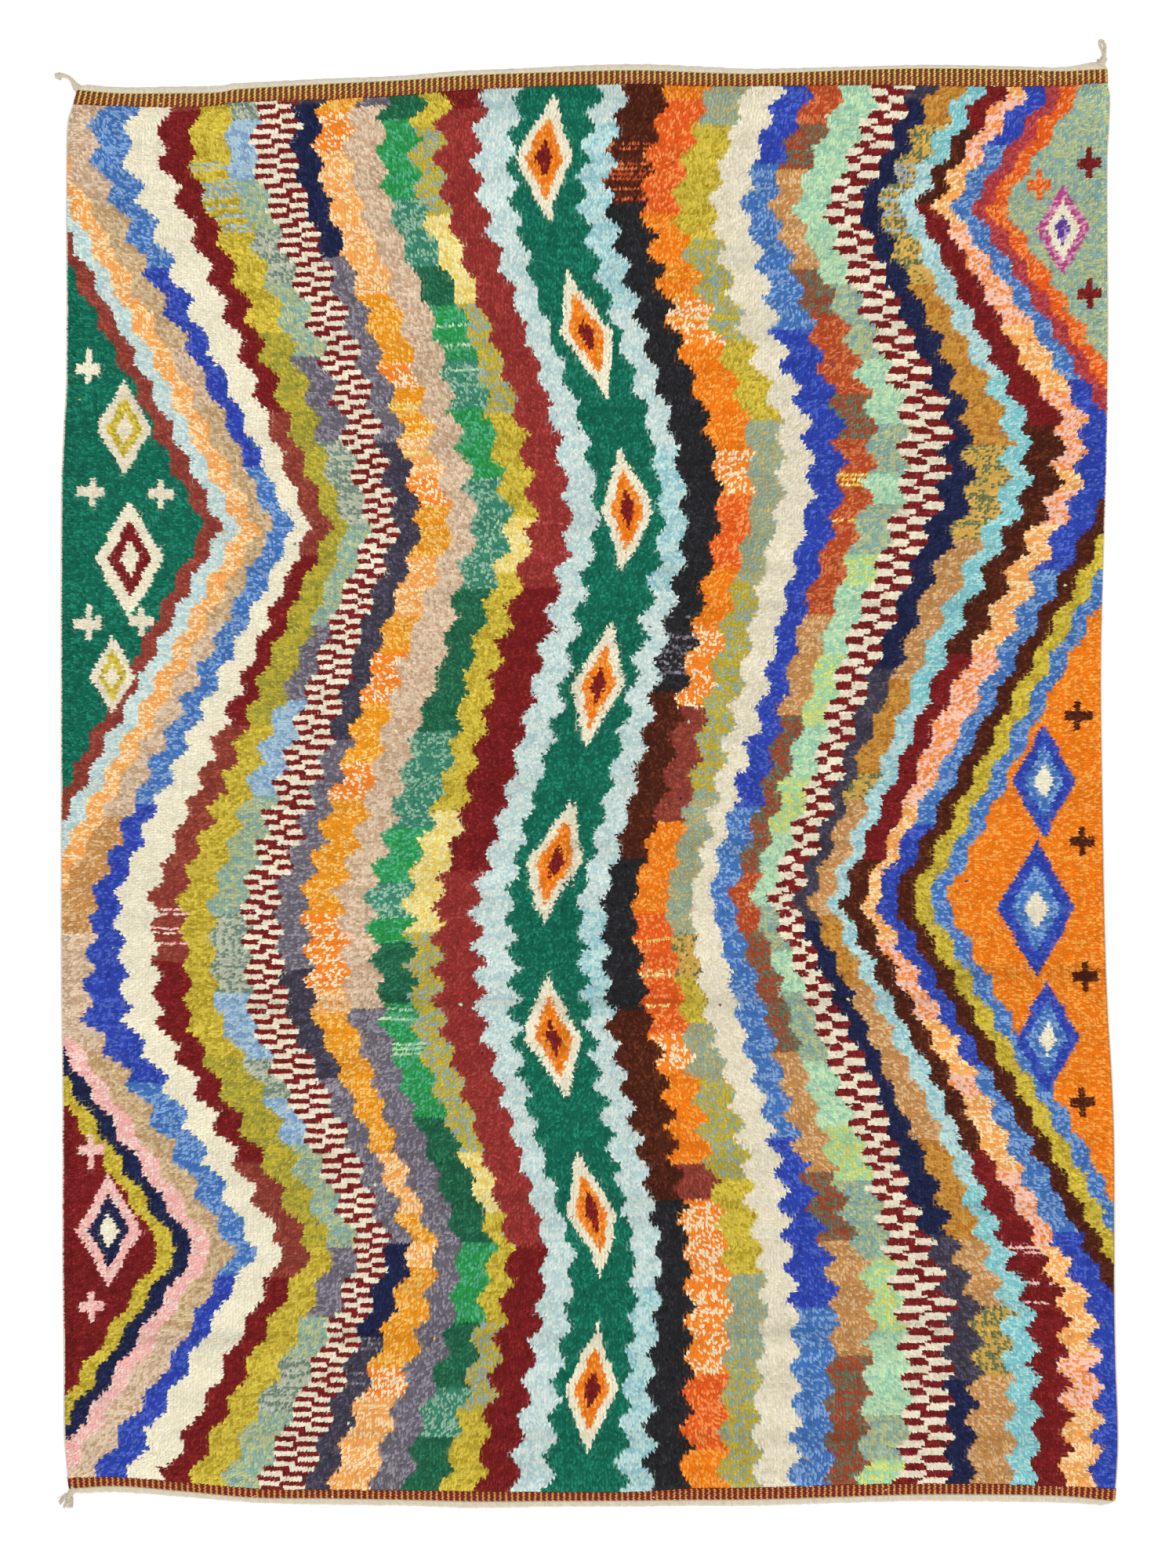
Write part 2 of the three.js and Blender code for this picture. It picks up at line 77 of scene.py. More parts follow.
# each end's seam with the pile, then how far the band and the heading reach out from it, and by how much
# the band's and the heading's left and right corners are drawn in
TOP_END = {
    "x": [
        -1342, -1231, -1075, -966, -919, -690, -468, -329, -148,
        122, 331, 434, 733, 899, 1118, 1246, 1330, 1362,
    ],
    "pile": [
        1749, 1744, 1741, 1746, 1754, 1761, 1773, 1785, 1794,
        1802, 1796, 1796, 1799, 1797, 1795, 1797, 1803, 1804,
    ],
    "band": [38, 34, 37, 34, 34, 41, 40, 39, 37, 36, 35, 33, 41, 46, 45, 39, 37, 38],
    "heading": [16, 17, 18, 18, 17, 14, 13, 13, 14, 17, 16, 14, 9, 10, 9, 11, 20, 17],
    "draw_in": {"band": (10, 1), "heading": (5, 4)},
    "outward": 1,
}
BOTTOM_END = {
    "x": [-1357, -1231, -1050, -870, -690, -468, -298, -89, 122, 272, 434, 670, 862, 1053, 1246, 1384],
    "pile": [
        -1839, -1837, -1851, -1867, -1870, -1872, -1874, -1876,
        -1876, -1867, -1865, -1857, -1854, -1855, -1861, -1867,
    ],
    "band": [29, 24, 24, 24, 23, 25, 27, 24, 23, 30, 31, 32, 29, 28, 26, 33],
    "heading": [14, 18, 17, 15, 18, 17, 19, 17, 17, 17, 18, 18, 19, 20, 19, 14],
    "draw_in": {"band": (3, 3), "heading": (12, 14)},
    "outward": -1,
}
SELVEDGE_WIDTH = 5.0
# between two parts that are woven in one the solids leave this much room
SEAM_GAP = 0.4


def smooth(t):
    """0 below 0, 1 above 1, and three t squared less two t cubed between."""
    t = np.clip(t, 0.0, 1.0)
    return t * t * (3.0 - 2.0 * t)


def line_through(table, key, value, place):
    """A cubic between each two places, whose slope at a place is that of the chord between its two
    neighbours."""
    at = np.array(table[key], float)
    lie = np.array(table[value], float)
    before = np.maximum(np.arange(len(at)) - 1, 0)
    after = np.minimum(np.arange(len(at)) + 1, len(at) - 1)
    slope = (lie[after] - lie[before]) / (at[after] - at[before])
    place = np.clip(place, at[0], at[-1])
    i = np.clip(np.searchsorted(at, place, side="right") - 1, 0, len(at) - 2)
    span = at[i + 1] - at[i]
    t = (place - at[i]) / span
    eased = smooth(t)
    bulge = span * t * (1.0 - t) * ((1.0 - t) * slope[i] - t * slope[i + 1])
    return lie[i] * (1.0 - eased) + lie[i + 1] * eased + bulge


def pile_place(u, v):
    """The point of the pile at u across and v along, both 0 to 1: y runs between the wandering ends, then
    x between the rims."""
    across_bottom = BOTTOM_END["x"][0] * (1.0 - u) + BOTTOM_END["x"][-1] * u
    across_top = TOP_END["x"][0] * (1.0 - u) + TOP_END["x"][-1] * u
    y = line_through(BOTTOM_END, "x", "pile", across_bottom) * (1.0 - v)
    y = y + line_through(TOP_END, "x", "pile", across_top) * v
    rim = SELVEDGE_WIDTH + SEAM_GAP
    left = line_through(LEFT_EDGE, "y", "x", y) + rim
    right = line_through(RIGHT_EDGE, "y", "x", y) - rim
    return left * (1.0 - u) + right * u, y


# Pile: its lie
# The rug has been stored folded. Its folds are still soft troughs in the wool pile, a few fingers wide,
# and the pile swells and thins a little over the rug and rounds over at its rim.
PILE_HEIGHT = 18.0
PILE_EDGE_HEIGHT = 9.0
PILE_ROUNDING = 30.0
# a fold fades out over this length past both its ends
FOLD_FADE = 150.0
FOLDS_ACROSS = {
    "y": [533, 436, -27, -186, -528, -592, -1113, -1462, -1728],
    "slope": [-0.01, 0.01, 0.005, 0.012, 0.01, 0.008, -0.015, 0.01, -0.005],
    "depth": [2.4, 2.4, 1.8, 2.2, 3.4, 3.0, 2.2, 2.6, 2.0],
    "width": [50, 55, 60, 55, 100, 50, 70, 60, 60],
    "start": [200, 470, -1400, -60, 1050, -900, -300, -1400, -1000],
    "end": [480, 1000, -250, 620, 1400, 900, 1400, 900, 1400],
}
FOLD_ALONG = {"x": -38.0, "slope": 0.02, "depth": 3.0, "width": 55.0, "start": -640.0, "end": 280.0}
SWELLS = {
    "height": [1.0, 0.6, 0.4],
    "wave_x": [830.0, 410.0, 253.0],
    "wave_y": [1270.0, 560.0, 171.0],
    "phase": [0.4, 2.1, 1.2],
}


def fold_ends(place, start, end):
    """1 along a fold, and smoothly down to 0 over the fade past its start and its end."""
    return smooth((place - start) / FOLD_FADE + 1.0) * smooth((end - place) / FOLD_FADE + 1.0)


def fold_depth(x, y, narrower=1.0):
    """How far the folds press the pile down: each a bell curve across its line, faded out past its ends."""
    depth = np.zeros_like(x)
    for k, at in enumerate(FOLDS_ACROSS["y"]):
        fades = fold_ends(x, FOLDS_ACROSS["start"][k], FOLDS_ACROSS["end"][k])
        off = (y - at - FOLDS_ACROSS["slope"][k] * x) / (FOLDS_ACROSS["width"][k] * narrower / 2.0)
        depth += FOLDS_ACROSS["depth"][k] * fades * np.exp(-off * off)
    fades = fold_ends(y, FOLD_ALONG["start"], FOLD_ALONG["end"])
    off = (x - FOLD_ALONG["x"] - FOLD_ALONG["slope"] * y) / (FOLD_ALONG["width"] * narrower / 2.0)
    return depth + FOLD_ALONG["depth"] * fades * np.exp(-off * off)


def pile_top(x, y):
    """Height of the pile: a quarter sine up from the rim, plus crossed sine swells, less the folds."""
    rim = SELVEDGE_WIDTH + SEAM_GAP
    from_left = x - line_through(LEFT_EDGE, "y", "x", y) - rim
    from_right = line_through(RIGHT_EDGE, "y", "x", y) - rim - x
    from_top = line_through(TOP_END, "x", "pile", x) - y
    from_bottom = y - line_through(BOTTOM_END, "x", "pile", x)
    from_rim = np.minimum(np.minimum(from_left, from_right), np.minimum(from_top, from_bottom))
    rounding = np.sin(math.pi / 2.0 * np.clip(from_rim / PILE_ROUNDING, 0.0, 1.0))
    z = PILE_EDGE_HEIGHT + (PILE_HEIGHT - PILE_EDGE_HEIGHT) * rounding
    for height, wave_x, wave_y, phase in zip(*SWELLS.values()):
        z = z + height * np.sin(2.0 * math.pi * x / wave_x + phase) * np.cos(2.0 * math.pi * y / wave_y)
    return z - fold_depth(x, y)


# Pile: its wools
# The pile is hand-spun wool from many dye pots. A yarn is seldom one colour: two dye lots are plied
# together, the second showing as flecks, and the weaver changes lots in the middle of a stripe.

# each yarn's main dye, the dye of its flecks, and the share of its knots that show the flecks
YARNS = {
    "cream": ("#E4DCC4", "#DACFB3", 0.30),
    "ivory": ("#E9E1C5", "#EDE6CF", 0.35),
    "beige": ("#DBC2A6", "#BF9F80", 0.45),
    "sand": ("#CFB68F", "#B5936A", 0.45),
    "camel": ("#BE8950", "#D6AE7E", 0.40),
    "ochre": ("#C68F3E", "#AE7029", 0.40),
    "mustard": ("#D0BA44", "#B0982A", 0.42),
    "olive": ("#B9A838", "#93903A", 0.42),
    "olive_fleck": ("#B8A63E", "#8DA39C", 0.42),
    "yellow": ("#E8C33E", "#EBD98A", 0.42),
    "pale_yellow": ("#EBDD96", "#E5C558", 0.38),
    "amber": ("#E5931F", "#F0BC62", 0.42),
    "apricot": ("#F0A557", "#F5D4A2", 0.45),
    "orange": ("#E97814", "#F39D40", 0.38),
    "orange_fleck": ("#F58628", "#F3DDB4", 0.45),
    "flame": ("#DE5A1E", "#EF8C48", 0.40),
    "rust": ("#B34A26", "#CE7245", 0.42),
    "rust_fleck": ("#964A30", "#64705A", 0.45),
    "gold_fleck": ("#CFA650", "#66714E", 0.42),
    "pink": ("#ECAFA7", "#EACBC0", 0.45),
    "pink_fleck": ("#F3C3AE", "#F08A3C", 0.42),
    "rose": ("#A5363A", "#B84E50", 0.40),
    "soft_red": ("#8E2F2C", "#9F3D37", 0.35),
    "madder": ("#731A1B", "#812424", 0.30),
    "brick": ("#87392F", "#99493A", 0.35),
    "brown": ("#491F12", "#5F2D1C", 0.30),
    "black": ("#242325", "#2D2D32", 0.30),
    "charcoal": ("#3E3A48", "#524D5C", 0.35),
    "slate": ("#68636D", "#8D8791", 0.42),
    "navy": ("#1C2242", "#252B50", 0.30),
    "royal": ("#2E42A6", "#485FBA", 0.35),
    "mid_blue": ("#4370B2", "#7B9ECB", 0.45),
    "powder": ("#A5C0CF", "#7B9DC0", 0.42),
    "sky": ("#BBD7D3", "#8BBEC6", 0.42),
    "ice": ("#CFDDD6", "#AECACB", 0.42),
    "turquoise": ("#7DC0C5", "#A8D5D1", 0.42),
    "lime": ("#C8D27A", "#98CCA4", 0.48),
    "mint": ("#BBD9B0", "#92C4A8", 0.45),
    "sage": ("#AEB88A", "#7FA39E", 0.48),
    "grey_green": ("#90A28C", "#B2A46C", 0.42),
    "sea": ("#3C836A", "#89B398", 0.42),
    "grass": ("#2A9149", "#4CA67A", 0.42),
    "teal": ("#10634E", "#1D7A61", 0.35),
    "pine": ("#1F5E42", "#2D7050", 0.35),
    "sage_fleck": ("#B4B8A2", "#6F8576", 0.48),
    "plum": ("#5B3A8E", "#A98CC0", 0.42),
    "magenta": ("#B2447F", "#D794B4", 0.48),
}
YARN_NAMES = list(YARNS)


def linear(hex_colour):
    """The colour's three linear parts: c / 12.92 up to 0.04045, and above it (c + 0.055) / 1.055 to the
    power 2.4, for c from 0 to 1."""
    parts = np.array([int(hex_colour[i : i + 2], 16) / 255.0 for i in (1, 3, 5)])
    return np.where(parts <= 0.04045, parts / 12.92, ((parts + 0.055) / 1.055) ** 2.4)


YARN_MAIN = np.array([linear(YARNS[name][0]) for name in YARN_NAMES])
YARN_FLECK = np.array([linear(YARNS[name][1]) for name in YARN_NAMES])
YARN_SHARE = np.array([YARNS[name][2] for name in YARN_NAMES])


# Pile: its pattern
# Lengthwise stripes with zigzag edges fill the rug between half lozenges that grow in from its long
# edges. Two of the stripes are check ladders and one holds a chain of lozenges. All of it is knotted
# in, so every edge steps by whole knots across and whole rows along.
# knots across the rug and rows along it, and about how wide and how long a knot is in millimetres
KNOT_COLUMNS = 336
KNOT_ROWS = 280
KNOT_ACROSS = 8.1
KNOT_ALONG = 13.1
# width in millimetres, the wools that the stripe changes between, and the usual run of one lot in rows
STRIPES = [
    (70, "beige camel sand", 30),
    (74, "royal mid_blue", 45),
    (84, "ivory", 99),
    (70, "madder brick", 60),
    (84, "mustard olive", 55),
    (78, "sage sage_fleck slate powder", 12),
    (100, "cream", 99),
    (66, "charcoal slate navy", 24),
    (90, "apricot orange_fleck amber", 10),
    (84, "slate beige", 50),
    (96, "pine grass sea", 14),
    (72, "mustard pale_yellow olive_fleck", 16),
    (108, "madder soft_red", 70),
    (80, "ice", 99),
    (200, "teal", 99),
    (70, "sky ice", 40),
    (96, "black brown", 50),
    (96, "orange brick orange_fleck flame", 14),
    (86, "olive_fleck mustard gold_fleck grey_green", 18),
    (82, "cream", 99),
    (80, "mid_blue royal", 40),
    (78, "rust_fleck rust camel rust_fleck", 16),
    (82, "lime sage mint", 12),
    (100, "cream", 99),
    (62, "navy charcoal", 50),
    (78, "camel gold_fleck ochre", 20),
    (56, "turquoise sky", 50),
    (72, "madder brown", 60),
    (70, "apricot pink_fleck", 12),
    (64, "royal mid_blue", 40),
]
# each ladder is a stripe with two columns of bars, so many half rows high and as far apart
LADDER = {"bar": "madder", "half_rows": {6: 2, 23: 3}}
# the teeth of every stripe edge in millimetres, and how many teeth the edges drift by from rim to rim
ZIGZAG = {"height": 19.0, "period": 90.0, "drift": 3.2}
# by how much the teeth's spacing, in teeth, and their height, as a share, vary along and across the rug
UNEVEN_SPACING = {"by": 0.5, "along": 430.0, "across": 3.0}
UNEVEN_HEIGHT = {"by": 0.25, "along": 170.0, "across": 11.0}
# two long bends that all the stripes share, widest halfway between the rims
BENDS = [
    {"by": 34.0, "wave": 2700.0, "across": 8.0, "start": 0.0},
    {"by": 24.0, "wave": 4100.0, "across": -5.0, "start": 1.0},
]
# each stripe edge is drawn by eye: two slow sways of its own, and a step to either side from row to row
SWAY = {"height": 6.0, "wave": (420.0, 1500.0)}
RAGGED = 1.6
# how fast the half lozenges' push on the stripes dies away towards the rug's other edge, and how far
# past the two edges it may take a stripe
PUSH_POWER = 2.3
PUSH_TURNS = 9
PUSH_LIMITS = (-0.3, 1.3)
# half lozenges on the long edges: middle y, half height and reach into the rug, and the wools and widths
# of its bands from the outside in, the last of which fills it
HALF_LOZENGES = [
    {
        "side": -1, "y": 640, "half": 960, "reach": 520,
        "bands": [("apricot", 52), ("ice", 44), ("brick", 44), ("teal", math.inf)],
    },
    {
        "side": -1, "y": -1240, "half": 600, "reach": 400,
        "bands": [("pink", 48), ("navy", 44), ("mustard", 44), ("madder", math.inf)],
    },
    {
        "side": 1, "y": -330, "half": 1060, "reach": 560,
        "bands": [("brown", 46), ("mustard", 46), ("mid_blue", 46), ("orange", math.inf)],
    },
    {
        "side": 1, "y": 1480, "half": 560, "reach": 360,
        "bands": [("rose", 40), ("flame", 44), ("sage", math.inf)],
    },
]
# the teeth of their bands are this much of the height of the stripes' teeth
LOZENGE_TEETH = 0.6
# lozenges knotted into the fields: middle, half width and half height, then the wools from the outside
# in, whose sizes are these shares of the whole
LOZENGE_SIZES = (1.0, 0.64, 0.30)
LOZENGES = [
    (-1205, 900, 74, 128, "cream mustard cream"),
    (-1190, 560, 92, 156, "ivory madder ivory"),
    (-1235, 255, 60, 104, "cream mustard cream"),
    (-1245, -1190, 84, 150, "pink navy ivory"),
    (1190, -20, 84, 150, "royal mid_blue ivory"),
    (1170, -350, 104, 176, "royal mid_blue ivory"),
    (1200, -690, 84, 150, "royal mid_blue ivory"),
    (1240, 1420, 70, 120, "magenta ivory plum"),
]
# crosses knotted into the fields: middle and wool, and how far their arms reach
CROSSES = [
    (-1290, 735, "cream"), (-1110, 728, "cream"), (-1300, 395, "cream"), (-1160, 400, "cream"),
    (-1300, 1060, "ivory"), (-1290, -985, "pink"), (-1290, -1390, "pink"), (1280, 150, "brown"),
    (1290, -180, "brown"), (1300, -530, "brown"), (1290, -860, "brown"), (1310, 1250, "madder"),
    (1310, 1590, "madder"), (1180, 1530, "flame"), (1180, 1300, "flame"),
]
CROSS_ARMS = {"across": 34.0, "along": 40.8}
# the chain of lozenges: its stripe, how far apart and how large they are, and their wools as above
CHAIN = {
    "stripe": 14, "pitch": 458.0, "half_width": 84.0, "half_height": 168.0,
    "sizes": (1.0, 0.66, 0.30), "wools": "ivory orange madder",
}
# how much the runs of one lot vary, as a power of e
LOT_SPREAD = 0.5
# places where short ticks of another yarn cross a stripe: which stripe, middle y, yarn
TICKS = [
    (3, -420, "pink"), (4, 1500, "powder"), (7, -1560, "slate"), (8, 880, "pale_yellow"),
    (10, 1130, "mint"), (10, -700, "mint"), (12, 560, "rose"), (16, 1560, "rust"), (16, 330, "slate"),
    (17, -520, "pale_yellow"), (17, 1240, "amber"), (18, -1500, "sage"), (21, 700, "yellow"),
    (25, 1500, "powder"), (27, -1300, "pink"),
]
# how far the ticks reach along the stripe, and the shares of its rows and of their knots that they take
TICK_REACH = 90.0
TICK_ROWS = 0.30
TICK_KNOTS = 0.85

dyer = np.random.default_rng(11)


def lots_along(names, usual):
    """The yarn of each row: runs of the usual number of rows by e to a random power, each drawn from the
    stripe's wools and never the same one twice over."""
    choices = [YARN_NAMES.index(name) for name in names.split()]
    along = []
    last = -1
    while len(along) < KNOT_ROWS:
        others = [c for c in choices if c != last] or choices
        last = others[0] if last < 0 else int(dyer.choice(others))
        along += [last] * math.ceil(usual * math.exp(dyer.normal(0.0, LOT_SPREAD)))
    return along[:KNOT_ROWS]


stripe_lots = np.array([lots_along(names, usual) for _, names, usual in STRIPES])
stripe_widths = np.array([width for width, _, _ in STRIPES])
stripe_ends = np.cumsum(stripe_widths) / stripe_widths.sum()
edges = len(STRIPES) - 1
edge_sways = [
    {
        "wave": dyer.uniform(*SWAY["wave"], edges),
        "phase": dyer.uniform(0.0, 2.0 * math.pi, edges),
    }
    for _ in range(2)
]
edge_steps = dyer.normal(0.0, RAGGED, (edges, KNOT_ROWS))
tick_rows = dyer.random((KNOT_ROWS, 1)) < TICK_ROWS
tick_places = tick_rows & (dyer.random((KNOT_ROWS, KNOT_COLUMNS)) < TICK_KNOTS)


def zigzag(t):
    """A line that runs straight from -1 to 1 and back in each whole step of t."""
    return 2.0 * np.abs(2.0 * (t - np.floor(t + 0.5))) - 1.0


def uneven(table, y, share):
    """By how much the teeth vary: the table's share of the sine of y / along + share times across."""
    return table["by"] * np.sin(y / table["along"] + table["across"] * share)


def half_lozenge(shape, y):
    """How far one half lozenge reaches in at height y: its whole reach, less a straight slope either way."""
    return shape["reach"] * (1.0 - np.abs(y - shape["y"]) / shape["half"])


def reach_of(side, y):
    """How far the half lozenges of one long edge reach in at height y: the widest of them, or 0."""
    reach = np.zeros_like(y)
    for shape in HALF_LOZENGES:
        if shape["side"] == side:
            reach = np.maximum(reach, half_lozenge(shape, y))
    return reach


def pushed_share(even, span, y):
    """The share of the way between the rims once the half lozenges have pushed the stripes inwards. Each
    push is a reach times a power of the share left to the other rim, and each turn comes closer to it."""
    share = even
    for _ in range(PUSH_TURNS):
        from_left = reach_of(-1, y) * (1.0 - share).clip(0.0) ** PUSH_POWER
        from_right = reach_of(1, y) * share.clip(0.0) ** PUSH_POWER
        share = (even - (from_left - from_right) / span).clip(*PUSH_LIMITS)
    return share


def bent_and_toothed(share, span, y):
    """The share with the long bends added, which die away to the rims as 4 s (1 - s) does, the same with
    the teeth added, and the teeth from -1 to 1."""
    bends = sum(
        bend["by"] * np.sin(2.0 * math.pi * y / bend["wave"] + bend["across"] * share + bend["start"])
        for bend in BENDS
    )
    bent = share + bends * (4.0 * (share * (1.0 - share)).clip(0.0)) / span
    teeth = zigzag(y / ZIGZAG["period"] + share * ZIGZAG["drift"] + uneven(UNEVEN_SPACING, y, share))
    toothed = bent + ZIGZAG["height"] * (1.0 + uneven(UNEVEN_HEIGHT, y, share)) * teeth / span
    return bent, toothed, teeth


def nested_lozenges(yarn, off, sizes, names):
    """The yarn with lozenges over it, one in another. off is the sum of a point's distances from their
    middle across and along, each divided by the half size."""
    for size, name in zip(sizes, names.split()):
        yarn = np.where(off < size, YARN_NAMES.index(name), yarn)
    return yarn


def edge_motifs(yarn, x, y, from_rims, teeth):
    """The yarn with the half lozenges over it, and over those their small lozenges and crosses."""
    for shape in HALF_LOZENGES:
        depth = half_lozenge(shape, y) - from_rims[shape["side"]] + LOZENGE_TEETH * ZIGZAG["height"] * teeth
        begin = 0.0
        for name, width in shape["bands"]:
            yarn = np.where((depth > begin) & (depth <= begin + width), YARN_NAMES.index(name), yarn)
            begin += width
    for mid_x, mid_y, half_x, half_y, names in LOZENGES:
        off = np.abs(x - mid_x) / half_x + np.abs(y - mid_y) / half_y
        yarn = nested_lozenges(yarn, off, LOZENGE_SIZES, names)
    for mid_x, mid_y, name in CROSSES:
        off_x = np.abs(x - mid_x)
        off_y = np.abs(y - mid_y)
        wide = (off_x < CROSS_ARMS["across"]) & (off_y < KNOT_ALONG)
        tall = (off_x < KNOT_ACROSS) & (off_y < CROSS_ARMS["along"])
        yarn = np.where(wide | tall, YARN_NAMES.index(name), yarn)
    return yarn


def knotted_yarn(u, v):
    """The yarn of the knot at each point, the knot's row, and whether it lies in a check ladder: its stripe
    by its share of the way between the rims, then what lies over the stripes."""
    column = np.clip(np.floor(u * KNOT_COLUMNS).astype(int), 0, KNOT_COLUMNS - 1)
    row = np.clip(np.floor(v * KNOT_ROWS).astype(int), 0, KNOT_ROWS - 1)
    half_row = np.floor(v * 2 * KNOT_ROWS).astype(int)
    x, y = pile_place((column + 0.5) / KNOT_COLUMNS, (row + 0.5) / KNOT_ROWS)
    left_rim = line_through(LEFT_EDGE, "y", "x", y)
    right_rim = line_through(RIGHT_EDGE, "y", "x", y)
    span = right_rim - left_rim
    share = pushed_share((x - left_rim) / span, span, y)
    bent, toothed, teeth = bent_and_toothed(share, span, y)
    stripe = np.zeros(len(x), int)
    for k in range(edges):
        sway = sum(np.sin(2.0 * math.pi * y / waves["wave"][k] + waves["phase"][k]) for waves in edge_sways)
        stripe += toothed > stripe_ends[k] + (SWAY["height"] * sway + edge_steps[k, row]) / span
    yarn = stripe_lots[stripe, row]
    stripe_middle = (np.append(0.0, stripe_ends[:-1])[stripe] + stripe_ends[stripe]) / 2.0

    checked = np.zeros(len(x), bool)
    for number, height in LADDER["half_rows"].items():
        on_ladder = stripe == number
        bar = on_ladder & ((half_row // height + (toothed > stripe_middle)) % 2 == 0)
        yarn = np.where(bar, YARN_NAMES.index(LADDER["bar"]), yarn)
        checked |= on_ladder
    for number, mid_y, name in TICKS:
        ticked = (half_row % 2 == 1) & (stripe == number) & tick_places[row, column]
        ticked &= np.abs(y - mid_y) < TICK_REACH
        yarn = np.where(ticked, YARN_NAMES.index(name), yarn)

    off_x = np.abs(bent - stripe_middle) * span / CHAIN["half_width"]
    off_y = np.abs((y / CHAIN["pitch"]) % 1.0 - 0.5) * CHAIN["pitch"] / CHAIN["half_height"]
    off = np.where(stripe == CHAIN["stripe"], off_x + off_y, math.inf)
    yarn = nested_lozenges(yarn, off, CHAIN["sizes"], CHAIN["wools"])
    yarn = edge_motifs(yarn, x, y, {-1: x - left_rim, 1: right_rim - x}, teeth)
    return yarn, row, checked


# how much lighter or darker a lot is, over how many rows a shade runs on, and how the flecks' share varies
LOT_SHADE = 0.09
SHADE_RUN = 5
FLECKS_VARY = (0.45, 1.55)
# painted shade in the folds: how much darker it makes the wool for each millimetre of a fold, and how much
# narrower than the fold it is
FOLD_SHADE = 0.055
FOLD_SHADE_WIDTH = 0.55

run = np.ones(SHADE_RUN) / SHADE_RUN
row_shade = dyer.normal(0.0, 1.0, (len(YARN_NAMES), KNOT_ROWS))
row_shade = np.stack([np.convolve(shades, run, mode="same") for shades in row_shade])
row_flecks = dyer.uniform(*FLECKS_VARY, (len(YARN_NAMES), KNOT_ROWS))


def dyed_and_fold_shaded(yarn, row, x, y, draw):
    """Linear colour of each knot: its yarn's fleck where the draw from 0 to 1 is below the share of flecks,
    otherwise its main dye, a little lighter or darker by row, and darker in the folds by painted shade."""
    flecked = (draw < YARN_SHARE[yarn] * row_flecks[yarn, row])[:, None]
    colour = np.where(flecked, YARN_FLECK[yarn], YARN_MAIN[yarn])
    # painted shade: the wool is darkened where the folds press the pile down
    folded = FOLD_SHADE * fold_depth(x, y, narrower=FOLD_SHADE_WIDTH)
    shade = 1.0 + LOT_SHADE * row_shade[yarn, row] - folded
    return colour * shade[:, None]


# Pile: its ground
# Under the tips stands the body of the pile on its woven foundation, one thick mat that shows only
# between the locks, its colour darkened there by painted shade. Its back lies flat on the floor.
MM = 0.001
GROUND_BELOW_TIPS = 3.1
GROUND_LOWEST = 3.0
# even stations across and up the mat, and how far in from its edges they begin, as its rim is round
GROUND_ACROSS = {"steps": 186, "rim": 0.01}
GROUND_UP = {"steps": 236, "rim": 0.007}
# another station lies at this share of the way in to the first even one
RIM_EXTRA = 0.3
# painted shade: the mat's colour is darkened as it lies in the shade of the tips
GROUND_PAINTED_SHADE = 0.85
# where the top, the back and the wall lie on the map: left, bottom, right and top
TOP_ON_MAP = (0.0, 0.0, 0.66, 1.0)
BACK_ON_MAP = (0.68, 0.0, 1.0, 0.5)
WALL_ON_MAP = (0.68, 0.52, 1.0, 1.0)


def on_map(share_u, share_v, part):
    """Two shares from 0 to 1, set into one part of the map."""
    left, bottom, right, top = part
    return np.stack([left + (right - left) * share_u, bottom + (top - bottom) * share_v], -1)


def new_piece(name, points, groups, maps, material, colours=None, strands=None, smooth_shading=True):
    """A mesh at the origin with its place in its points, in millimetres. groups are faces of like size,
    maps the place of each of their corners on the flat, colours one linear colour for each point, its
    dye with any painted shade and painted light, and strands its place across and along the strands of
    its own wool."""
    mesh = bpy.data.meshes.new(name)
    corners = np.concatenate([group.ravel() for group in groups])
    sizes = np.concatenate([np.full(len(group), group.shape[1]) for group in groups])
    mesh.vertices.add(len(points))
    mesh.vertices.foreach_set("co", (points * MM).astype(np.float32).ravel())
    mesh.loops.add(len(corners))
    mesh.loops.foreach_set("vertex_index", corners.astype(np.int32))
    mesh.polygons.add(len(sizes))
    mesh.polygons.foreach_set("loop_start", (np.cumsum(sizes) - sizes).astype(np.int32))
    mesh.polygons.foreach_set("use_smooth", np.full(len(sizes), smooth_shading))
    mesh.update(calc_edges=True)
    flat = mesh.uv_layers.new(name="OFBake")
    flat.data.foreach_set("uv", np.concatenate([m.reshape(-1, 2) for m in maps]).astype(np.float32).ravel())
    if colours is not None:
        # the colour that the wool shows: its dye with any painted shade and painted light
        dye = mesh.attributes.new("DyeAndPaintedLight", "FLOAT_COLOR", "POINT")
        rgba = np.ones((len(points), 4), np.float32)
        rgba[:, : colours.shape[1]] = np.clip(colours, 0.0, 1.0)
        dye.data.foreach_set("color", rgba.ravel())
    if strands is not None:
        strand = mesh.attributes.new("Strand", "FLOAT_VECTOR", "POINT")
        strand.data.foreach_set("vector", (strands * MM).astype(np.float32).ravel())
    mesh.materials.append(material)
    piece = bpy.data.objects.new(name, mesh)
    bpy.context.scene.collection.objects.link(piece)
    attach(piece, "root")
    return piece


def grid_faces(rows, columns):
    """Quads between neighbours of a grid of points, row by row."""
    j, i = np.meshgrid(np.arange(rows - 1), np.arange(columns - 1), indexing="ij")
    first = (j * columns + i).ravel()
    return np.stack([first, first + 1, first + columns + 1, first + columns], 1)


def rim_stations(steps, rim):
    """Even stations from rim to 1 - rim, and two more at each end, so that the rounded rim gets enough."""
    inner = np.linspace(rim, 1.0 - rim, steps)
    return np.concatenate([[0.0, RIM_EXTRA * rim], inner, [1.0 - RIM_EXTRA * rim, 1.0]])


# wool hardly shines, and a fine noise stands for its fibres: it tints the wool and raises it
WOOL = {"roughness": 0.92, "specular": 0.08, "sheen_roughness": 0.6, "raised": 0.6}
FIBRE_NOISE = {"detail": 3.0, "roughness": 0.65, "darkest": 0.25, "lightest": 0.75}


